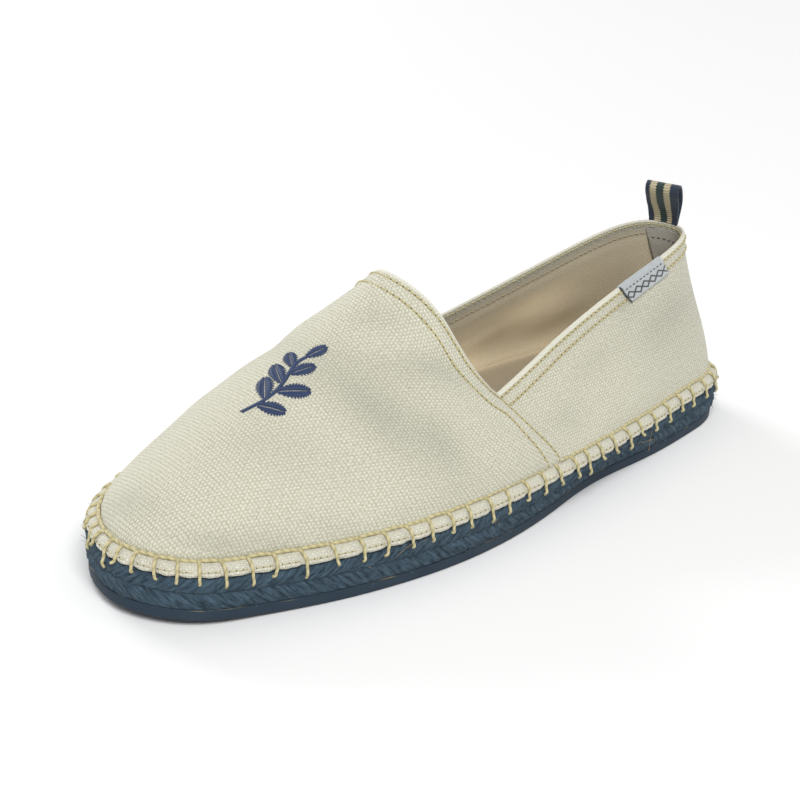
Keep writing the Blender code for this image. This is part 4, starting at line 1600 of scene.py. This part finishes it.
def rope_surface(sizes):
    """The plaited rope's outer face, each point's place along and across its strand, and its section."""
    places, lengths = band_places(ROPE_STEP)
    profile = curve_through(rows_of(ROPE, "offset", "height"), steps=5)
    arch = np.interp(profile[:, 1], ROPE["height"], ROPE["arch"])
    span = lengths_along(profile)
    waist = np.interp(ROPE_WAIST, profile[:, 1], span)
    whole = lengths[-1]
    pitch = whole / round(whole / (sizes.strand_spacing / MM))
    from_waist = np.abs(span - waist)
    upper = span > waist
    phase = (lengths[:, None] - STRAND_LEAN * from_waist) / pitch + 0.5 * upper
    crest = np.abs(np.sin(np.pi * phase)) ** 0.7
    from_top = span[-1] - span
    shown = smooth_step(*ROPE_FOOT, span) * smooth_step(*ROPE_TOP, from_top)
    groove = WAIST_GROOVE[0] * np.exp(-((from_waist / WAIST_GROOVE[1]) ** 2))
    relief = STRAND_RELIEF * (crest - 0.6) - groove
    rough = np.random.default_rng(3).normal(0, ROPE_ROUGHNESS, relief.shape)
    rough = (rough + np.roll(rough, 1, 0) + np.roll(rough, 1, 1)) / 1.7
    rough[-1] = rough[0]
    relief = (relief + rough) * shown
    out = beside(np.gradient(profile, axis=0))
    points = sweep(places, profile[:, 0] + relief * out[:, 0], profile[:, 1] + relief * out[:, 1], arch)
    lean = np.hypot(1, STRAND_LEAN)
    along = (lengths[:, None] * STRAND_LEAN + from_waist) / lean
    across = (lengths[:, None] - STRAND_LEAN * from_waist) / lean
    return points, along, across, profile, upper


def build_rope(sizes, colours):
    """The plaited jute sole with its loose fibres."""
    points, along, across, profile, upper = rope_surface(sizes)
    bm = closed_skin(points, np.stack([along + UPPER_ROW_SHIFT * upper, across], axis=2))
    piece = piece_from("jute_plait", bm, dyed_jute(colours))
    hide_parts("rope_sole")
    draw = np.random.default_rng(8)
    by_length = unit(np.gradient(points, axis=0))
    by_height = unit(np.gradient(points, axis=1))
    outward = unit(np.cross(by_length, by_height))
    low, high = HAIR_HEIGHTS
    rows = np.where((profile[:, 1] > low) & (profile[:, 1] < high) & (profile[:, 0] > 0))[0]
    t = np.linspace(0, 1, len(HAIR_TAPER))[:, None]
    hairs = {False: ([], []), True: ([], [])}
    for number in range(sizes.hairs):
        i, j = draw.integers(len(points)), draw.choice(rows)
        place, out = points[i, j], outward[i, j]
        strand = unit(by_length[i, j] * STRAND_LEAN + by_height[i, j] * (1 if upper[j] else -1))
        heading = unit(strand * draw.choice([-1, 1]) + draw.normal(0, 0.35, 3))
        lengths, stands, bend, undyed = SHORT_HAIRS if number % LONG_HAIR_EVERY else LONG_HAIRS
        length, stand = draw.uniform(*lengths), draw.uniform(*stands)
        side = np.cross(heading, out) * draw.choice([-1, 1])
        curl = side * draw.uniform(0.1, 0.6)
        path = place - out * 0.1 + heading * np.sin(t * bend) * length * 0.8
        path = path + out * (0.3 + stand * t * length) * t**0.6 + curl * t**2 * length * 0.6
        pale = bool(draw.random() < undyed)
        hairs[pale][0].append(path)
        hairs[pale][1].append(out)
    for pale, (paths, facing) in hairs.items():
        name = "straw_hairs" if pale else "navy_hairs"
        made = tubes(name, paths, facing, HAIR_TAPER, HAIR_TAPER, jute_hair(colours, pale), sides=3)


def swept_layer(table, step):
    """A sole layer swept round the outline, never below the floor and closed at both its ends."""
    places, lengths = band_places(step)
    profile = curve_through(rows_of(table, "offset", "height"), steps=3)
    arch = np.interp(profile[:, 1], table["height"], table["arch"]) if "arch" in table else 0.0
    points = sweep(places, profile[:, 0], np.maximum(profile[:, 1], 0), arch)
    return closed_skin(points, pattern(lengths, lengths_along(profile)))


def build_outsole(sizes, colours):
    """The rubber outsole, with softened edges and the cement line along its joint."""
    piece = piece_from("rubber_outsole", swept_layer(RUBBER, step=1.5), moulded_rubber(colours))
    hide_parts("outsole")


# How much painted shade darkens the insole, and how far in from its edge that starts.
INSOLE_PAINTED_SHADE = 0.46
INSOLE_SHADE_FROM = (4.0, 10.0)


def build_insole(sizes, colours):
    """The cloth-covered insole, rounded at its edge, slightly dished and darkened by painted shade inwards
    from its edge.
    """
    bm = swept_layer(INSOLE, step=2.0)
    # Painted shade, deeper the further in from the insole's edge.
    grey = bm.verts.layers.float.new("painted_shade_and_light")
    rim = sole_places(np.linspace(0, 2, 400))[:, :2]
    flat = np.array([vertex.co for vertex in bm.verts]) / MM * [1, 1, 0]
    inset, _ = distance_to(np.column_stack([rim, np.zeros(len(rim))]), flat)
    for vertex, value in zip(bm.verts, INSOLE_PAINTED_SHADE * smooth_step(*INSOLE_SHADE_FROM, inset)):
        vertex[grey] = value
    layer = bm.loops.layers.uv["UVMap"]
    for face in bm.faces:
        for loop in face.loops:
            loop[layer].uv = (loop.vert.co.x / MM, loop.vert.co.y / MM)
    piece = piece_from("insole_sock", bm, insole_cotton(colours))
    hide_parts("insole")


# The patch inside the heel: its half width at its top and foot, by depth below the rim, how far it lies in
# from the wall, and its row of stitches.
PATCH_HALF_WIDTHS = (15.5, 9.0)
PATCH_DEPTHS = (1.7, 26.0)
PATCH_INWARDS = 0.68
PATCH_THICKNESS = 0.3
PATCH_POINTS = 25
PATCH_STITCHES = 5.6
PATCH_THREAD = 0.14
SMALL_STITCH = 2.1


def build_heel_patch(sizes, colours):
    """The reinforcing patch inside the heel, with its row of dark stitches."""
    made = canvas()
    heel = loop_lengths()[0]
    lengths = lengths_at(made["rounds"])
    depth = made["depth"][np.abs(lengths - heel).argmin()]
    shown = np.where((depth > PATCH_DEPTHS[0]) & (depth < PATCH_DEPTHS[1]))[0]
    face, flat = [], []
    for row, half in zip(shown, np.interp(depth[shown], PATCH_DEPTHS, PATCH_HALF_WIDTHS)):
        at = heel + np.linspace(-half, half, PATCH_POINTS)
        line, out = (read_between(at, lengths, made[each][:, row]) for each in ("grid", "outward"))
        face.append(line - out * (wall_at(depth[row]) + PATCH_INWARDS))
        flat.append(np.column_stack([at, np.full(PATCH_POINTS, -depth[row])]))
    face, flat = np.stack(face, axis=1), np.stack(flat, axis=1)
    bm = bmesh.new()
    add_skin(bm, face[::-1], flat[::-1])
    bmesh.ops.solidify(bm, geom=bm.faces[:], thickness=PATCH_THICKNESS * MM)
    piece = piece_from("heel_patch", bm, patch_drill(colours))
    row = np.abs(depth[shown] - PATCH_STITCHES).argmin()
    inward = outward_of(face[::-1], closed=False)[::-1, row]
    line = face[:, row] + inward * PATCH_THICKNESS / 2
    paths, facing, _, _ = stitches_along(line[1:-1], inward[1:-1], SMALL_STITCH, filled=0.5, proud=0.15)
    piece = tubes("patch_stitches", paths, facing, PATCH_THREAD, PATCH_THREAD, dark_cotton(colours))


def build_pull_loop(sizes, colours):
    """The striped grosgrain pull loop at the heel."""
    middle = curve_through(rows_of(RIBBON_PATH, "back", "up"), steps=8)
    across = beside(np.gradient(middle, axis=0)) * RIBBON_THICKNESS / 2
    section = np.vstack([middle + across, (middle - across)[::-1], (middle + across)[:1]])
    span = lengths_along(middle)
    spans = np.concatenate([span, span[::-1], span[:1]])
    widths = np.linspace(-RIBBON_WIDTH / 2, RIBBON_WIDTH / 2, 21)
    turn = np.radians(RIBBON_TURN)
    rim = canvas()["panels"]["quarter"].outside[:, -1]
    rim = rim[rim[:, 1] > RIM_BEHIND_Y]
    rim = rim[rim[:, 0].argsort()]
    foot = 1 - smooth_step(0, RIBBON_RISE, section[:, 1])
    rings = []
    for x in widths:
        at = x * (1 - RIBBON_GATHER * foot)
        across_shoe = RIBBON_X + at * np.cos(turn) - section[:, 0] * np.sin(turn)
        free = RIBBON_BACK + at * np.sin(turn) + section[:, 0] * np.cos(turn)
        sewn = np.interp(across_shoe, rim[:, 0], rim[:, 1]) - 0.1 + section[:, 0]
        rings.append(np.column_stack([
            across_shoe, free * (1 - foot) + sewn * foot, RIBBON_FOOT + section[:, 1],
        ]))
    bm = closed_skin(np.array(rings), pattern(widths, spans))
    bmesh.ops.recalc_face_normals(bm, faces=bm.faces[:])
    piece = piece_from("grosgrain_loop", bm, grosgrain(colours))
    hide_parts("pull_loop")


def label_sheet(gap, feathers, drops, insides):
    """The label's face at this gap off the cloth: from its lower edge up over the rim and down inside."""
    rises = np.linspace(0.4, 1, 90)
    trim = read_column(THROAT_SCOOP, "collar", "inner", 1.6)

    def face(drop, away):
        grid = canvas_rows(INNER, feathers + LABEL_SLANT * drop, rises)
        found = []
        for line, out in zip(grid, outward_of(grid, closed=False)):
            depth = lengths_along(line[::-1])[::-1]
            place = [np.interp(-drop - trim, -depth, axis) for axis in np.hstack([line, out]).T]
            found.append(np.array(place[:3]) + unit(np.array(place[3:])) * away)
        return np.array(found)

    rim, below = face(0, 0), face(0.3, 0)
    up, out = unit(rim - below), unit(face(0, 1) - rim)
    middle, radius = rim - out * wall_at(0) / 2, wall_at(0) / 2 + gap
    over = [
        middle + out * radius * np.cos(a) + up * np.sin(a) * (CROWN_HEIGHT + gap * 0.8)
        for a in np.linspace(0, np.pi, 9)[1:-1]
    ]
    outside = [face(drop, gap + HEM_PUFF) for drop in drops]
    inside = [face(drop, -wall_at(drop) - INSIDE_LAYERS - gap) for drop in insides]
    return np.stack([*outside, *over, *inside], axis=1)


# The label's points across, down its outside and down its inside, where its stitches and its cut end are by
# row of points, and the half sizes of their threads.
LABEL_POINTS = (25, 12, 7)
LABEL_STITCH_ROW = 9
LABEL_THREAD = 0.16
LABEL_END_ROWS = 14
LABEL_END_SIZE = (0.3, 0.35)


def build_side_label(sizes, colours):
    """The plain satin label folded over the topline, with its stitching and its dark cut end."""
    across, down_outside, down_inside = LABEL_POINTS
    feathers = np.linspace(*LABEL_FEATHERS, across)
    drops, insides = np.linspace(LABEL_DROP, 0, down_outside), np.linspace(0, LABEL_INSIDE, down_inside)
    near = label_sheet(LABEL_GAP, feathers, drops, insides)
    far = label_sheet(LABEL_GAP + LABEL_THICKNESS, feathers, drops, insides)
    points = np.concatenate([far, near[:, ::-1], far[:, :1]], axis=1)
    span = lengths_along(far[len(far) // 2])
    spans = np.concatenate([span, span[::-1], span[:1]])
    bm = closed_skin(points, pattern(lengths_along(far[:, 0]), spans))
    bmesh.ops.recalc_face_normals(bm, faces=bm.faces[:])
    piece = piece_from("satin_label", bm, satin_ribbon(colours))
    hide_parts("side_label")
    dark = dark_cotton(colours)
    row, out = far[:, LABEL_STITCH_ROW], unit(far[:, LABEL_STITCH_ROW] - near[:, LABEL_STITCH_ROW])
    paths, facing, _, _ = stitches_along(row, out, SMALL_STITCH, filled=0.6, proud=0.12)
    tubes("label_stitches", paths, facing, LABEL_THREAD, LABEL_THREAD, dark)
    end, beside = far[:2, :LABEL_END_ROWS]
    edge = end + unit(end - beside) * 0.15
    out = unit(end - near[0, :LABEL_END_ROWS])
    tubes("label_cut_end", [edge], [out], *LABEL_END_SIZE, dark)


# ---------------------------------------------------------------- stage

CAMERA_TURN = (43.1, 25.4, 5.04)
CAMERA_DISTANCE = 0.7626
CAMERA_AIM = (0.001, 0.0, 0.0)
CAMERA_SHIFT = (-0.033, 0.1039)
# Softboxes: direction from the shoe in degrees, azimuth 0 at the toe and 90 at the inner side, and watts.
SOFTBOXES = columns("name azimuth elevation power", (
    ("front_softbox", 50.0, 50.0, 27.0),
    ("back_softbox", 180.0, 20.0, 7.0),
    ("left_softbox", 270.0, 20.0, 19.3),
))
SOFTBOX_SIZE = 0.9
SOFTBOX_DISTANCE = 1.9
ROOM_LIGHT = 0.41


def direction(azimuth, elevation):
    """The way from the shoe, by radians round from the toe and up from the floor."""
    return np.array([
        np.sin(azimuth) * np.cos(elevation), -np.cos(azimuth) * np.cos(elevation), np.sin(elevation),
    ])


def build_stage(sizes, colours):
    """The camera, the pale floor and the soft studio lights."""
    azimuth, elevation, roll = np.radians(CAMERA_TURN)
    back = direction(azimuth, elevation)
    level = np.array([np.cos(azimuth), np.sin(azimuth), 0.0])
    right = np.cos(roll) * level + np.sin(roll) * np.cross(back, level)
    up = np.cross(back, right)
    place = np.array(CAMERA_AIM) + back * CAMERA_DISTANCE
    lens = bpy.data.cameras.new("product_camera")
    lens.lens = sizes.focal_length
    lens.shift_x, lens.shift_y = CAMERA_SHIFT
    camera = bpy.data.objects.new("product_camera", lens)
    camera.matrix_world = Matrix(np.vstack([np.column_stack([right, up, back, place]), [0, 0, 0, 1]]))
    bpy.context.scene.collection.objects.link(camera)
    bpy.context.scene.camera = camera

    bm = bmesh.new()
    bmesh.ops.create_grid(bm, x_segments=1, y_segments=1, size=4.0)
    mesh = mesh_from("paper_floor", bm)
    mesh.materials.append(paper_floor(colours))
    floor = bpy.data.objects.new("paper_floor", mesh)
    bpy.context.scene.collection.objects.link(floor)
    for name, azimuth, elevation, power in zip(*SOFTBOXES.values()):
        spot = Vector(direction(*np.radians([azimuth, elevation])))
        lamp = bpy.data.lights.new(str(name), "AREA")
        lamp.shape = "SQUARE"
        lamp.size = SOFTBOX_SIZE
        lamp.energy = power * sizes.light_power
        light = bpy.data.objects.new(str(name), lamp)
        light.location = spot * SOFTBOX_DISTANCE
        light.rotation_euler = (-spot).to_track_quat("-Z", "Y").to_euler()
        bpy.context.scene.collection.objects.link(light)
    bpy.context.scene.view_settings.view_transform = "Standard"
    world = bpy.data.worlds.new("studio")
    world.use_nodes = True
    world.node_tree.nodes["Background"].inputs["Color"].default_value = (1.0, 1.0, 1.0, 1.0)
    world.node_tree.nodes["Background"].inputs["Strength"].default_value = ROOM_LIGHT
    bpy.context.scene.world = world


# ---------------------------------------------------------------- add-on


def length_property(name, description, size, low=0.0, high=100.0):
    return FloatProperty(name=name, description=description, default=size * MM, min=low * MM, max=high * MM,
                         precision=5, unit="LENGTH")


def colour_property(name, description, code):
    return FloatVectorProperty(name=name, description=description, default=linear(code), size=3, min=0.0,
                               max=1.0, subtype="COLOR")


class EspadrilleSizes(bpy.types.PropertyGroup):
    """Sizes of the fine work that the solids leave out."""

    warp_spacing: length_property("Warp spacing", "Spacing of the duck's warp yarns", 0.55, 0.2, 4.0)
    weft_spacing: length_property("Weft spacing", "Spacing of the duck's thicker weft yarns", 1.31, 0.2, 4.0)
    stitch_length: length_property("Stitch length", "Length of one topstitch with its gap", 2.4, 1.0, 6.0)
    stitch_thread: length_property("Stitch thread", "Thickness of the topstitching thread", 0.68, 0.2, 1.5)
    twine: length_property("Twine", "Thickness of the blanket stitch's waxed twine", 1.3, 0.6, 2.5)
    strand_spacing: length_property("Strand spacing", "Spacing of the plait's strands", 4.2, 2.0, 10.0)
    hairs: IntProperty(name="Loose fibres", description="Number of loose jute fibres round the plait",
                       default=900, min=0, max=10000)
    focal_length: FloatProperty(name="Focal length", description="Focal length of the camera in millimetres",
                                default=97.5, min=20.0, max=300.0)
    light_power: FloatProperty(name="Light power", description="Strength of the softboxes", default=1.0,
                               min=0.0, max=10.0)


class EspadrilleColours(bpy.types.PropertyGroup):
    """Colours of the espadrille's materials."""

    canvas: colour_property("Canvas", "Crests of the duck's yarns", "#E4E2D3")
    canvas_gap: colour_property("Canvas gaps", "Between the duck's yarns", "#B5B299")
    # The fold's paler gaps are partly rubbed yarn and partly a painted highlight along the rim.
    canvas_rubbed_lit_gaps: colour_property("Canvas rubbed gaps", "Between the duck's yarns on its folds", "#DAD8C6")
    husk: colour_property("Husk", "Flecks of cotton husk in the duck", "#A38F62")
    tape: colour_property("Hem tape", "Crests of the bleached tape", "#DBD9CA")
    tape_gap: colour_property("Hem tape gaps", "Between the tape's yarns", "#CDC9B5")
    lining: colour_property("Lining", "Crests of the sand drill", "#F2E7CE")
    lining_gap: colour_property("Lining gaps", "Between the drill's yarns", "#E0D2B3")
    # The facing's colour is darkened with painted shade from under the rim.
    facing: colour_property("Rim facing", "The drill strip inside the rim", "#D8D4C5")
    patch: colour_property("Heel patch", "The grey patch inside the heel", "#ABA79D")
    patch_gap: colour_property("Heel patch gaps", "Between the patch's yarns", "#918E85")
    insole: colour_property("Insole", "Crests of the insole's sock cloth", "#DFCFB2")
    insole_gap: colour_property("Insole gaps", "Between the sock cloth's yarns", "#CDBB9B")
    twine: colour_property("Twine", "Lit side of the waxed twine", "#C6BC90")
    twine_dark: colour_property("Twine grooves", "Grooves of the twine and thread", "#A0966C")
    sewing: colour_property("Topstitching", "Ochre sewing thread", "#C8BD8C")
    bobbin: colour_property("Bobbin thread", "Sand thread on the inside of the rim", "#B3A88F")
    pinhole: colour_property("Needle holes", "Shadow inside the needle holes", "#75683F")
    motif: colour_property("Embroidery", "Navy rayon thread", "#2A3F66")
    motif_dark: colour_property("Embroidery grooves", "Between the rayon's plies", "#1A2844")
    jute_dark: colour_property("Jute shadow", "Dark fibres of the dyed jute", "#25323B")
    jute_light: colour_property("Jute light", "Light fibres of the dyed jute", "#566C7C")
    jute_fleck: colour_property("Jute straw", "Fibres that took no dye", "#B39468")
    rubber: colour_property("Rubber", "Slate rubber", "#213240")
    rubber_worn: colour_property("Dusty rubber", "Chalky bloom on the rubber", "#2C3B47")
    cement: colour_property("Cement", "Dried cement along the sole's joint", "#867B5E")
    ribbon_navy: colour_property("Loop selvedge", "Navy of the pull loop", "#17293C")
    ribbon_cream: colour_property("Loop stripe", "Cream of the pull loop", "#B2A88A")
    ribbon_green: colour_property("Loop middle", "Dark green of the pull loop", "#1B3433")
    satin: colour_property("Label", "Silver satin of the label", "#B2B7B9")
    dark_thread: colour_property("Dark thread", "Grey sewing cotton", "#3A3B3E")
    floor: colour_property("Floor", "Backdrop paper", "#F4F4F4")


class EspadrilleOperator:
    """Shared by every operator here: one step of the making, with the sizes and colours of the scene."""

    bl_options = {"REGISTER", "UNDO"}

    def run(self, *steps):
        scene = bpy.context.scene
        for step in steps:
            step(scene.espadrille_sizes, scene.espadrille_colours)
        return {"FINISHED"}


class ESPADRILLE_OT_stage(EspadrilleOperator, bpy.types.Operator):
    """Set up the camera, the floor and the lights"""

    bl_idname = "espadrille.stage"
    bl_label = "Stage"

    def execute(self, context):
        return self.run(build_stage)


class ESPADRILLE_OT_upper(EspadrilleOperator, bpy.types.Operator):
    """Make the canvas upper with its lining"""

    bl_idname = "espadrille.upper"
    bl_label = "Canvas upper"

    def execute(self, context):
        return self.run(build_upper)


class ESPADRILLE_OT_topstitching(EspadrilleOperator, bpy.types.Operator):
    """Sew the double rows along the throat, seams and topline"""

    bl_idname = "espadrille.topstitching"
    bl_label = "Topstitching"

    def execute(self, context):
        return self.run(build_topstitching)


class ESPADRILLE_OT_embroidery(EspadrilleOperator, bpy.types.Operator):
    """Embroider the sprig on the vamp"""

    bl_idname = "espadrille.embroidery"
    bl_label = "Embroidery"

    def execute(self, context):
        return self.run(build_embroidery)


class ESPADRILLE_OT_hem_band(EspadrilleOperator, bpy.types.Operator):
    """Make the folded hem band with its fine stitching"""

    bl_idname = "espadrille.hem_band"
    bl_label = "Hem band"

    def execute(self, context):
        return self.run(build_hem_band)


class ESPADRILLE_OT_blanket_stitch(EspadrilleOperator, bpy.types.Operator):
    """Sew the upper to the rope with blanket stitch"""

    bl_idname = "espadrille.blanket_stitch"
    bl_label = "Blanket stitch"

    def execute(self, context):
        return self.run(build_blanket_stitch)


class ESPADRILLE_OT_rope(EspadrilleOperator, bpy.types.Operator):
    """Plait the jute sole and its loose fibres"""

    bl_idname = "espadrille.rope"
    bl_label = "Jute plait"

    def execute(self, context):
        return self.run(build_rope)


class ESPADRILLE_OT_outsole(EspadrilleOperator, bpy.types.Operator):
    """Mould the rubber outsole"""

    bl_idname = "espadrille.outsole"
    bl_label = "Rubber outsole"

    def execute(self, context):
        return self.run(build_outsole)


class ESPADRILLE_OT_inside(EspadrilleOperator, bpy.types.Operator):
    """Lay the insole and sew the heel patch"""

    bl_idname = "espadrille.inside"
    bl_label = "Insole and heel patch"

    def execute(self, context):
        return self.run(build_insole, build_heel_patch)


class ESPADRILLE_OT_ribbons(EspadrilleOperator, bpy.types.Operator):
    """Sew on the pull loop and the side label"""

    bl_idname = "espadrille.ribbons"
    bl_label = "Pull loop and label"

    def execute(self, context):
        return self.run(build_pull_loop, build_side_label)


OPERATORS = (
    ESPADRILLE_OT_stage,
    ESPADRILLE_OT_upper,
    ESPADRILLE_OT_topstitching,
    ESPADRILLE_OT_embroidery,
    ESPADRILLE_OT_hem_band,
    ESPADRILLE_OT_blanket_stitch,
    ESPADRILLE_OT_rope,
    ESPADRILLE_OT_outsole,
    ESPADRILLE_OT_inside,
    ESPADRILLE_OT_ribbons,
)


class ESPADRILLE_PT_panel(bpy.types.Panel):
    """Sidebar panel with the sizes, the colours and the pieces in their order"""

    bl_idname = "ESPADRILLE_PT_panel"
    bl_label = "Canvas espadrille"
    bl_space_type = "VIEW_3D"
    bl_region_type = "UI"
    bl_category = "Espadrille"

    def draw(self, context):
        for group in (context.scene.espadrille_sizes, context.scene.espadrille_colours):
            box = self.layout.box()
            for name in group.__annotations__:
                box.prop(group, name)
        for operator in OPERATORS:
            self.layout.operator(operator.bl_idname)


CLASSES = (EspadrilleSizes, EspadrilleColours, *OPERATORS, ESPADRILLE_PT_panel)


def register():
    for each in CLASSES:
        bpy.utils.register_class(each)
    bpy.types.Scene.espadrille_sizes = PointerProperty(type=EspadrilleSizes)
    bpy.types.Scene.espadrille_colours = PointerProperty(type=EspadrilleColours)


def unregister():
    del bpy.types.Scene.espadrille_colours
    del bpy.types.Scene.espadrille_sizes
    for each in reversed(CLASSES):
        bpy.utils.unregister_class(each)


def main():
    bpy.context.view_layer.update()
    register()
    for operator in OPERATORS:
        call = getattr(bpy.ops.espadrille, operator.bl_idname.split(".")[1])
        if call() != {"FINISHED"}:
            raise RuntimeError(f"{operator.bl_label} did not finish")


if __name__ == "__main__":
    main()
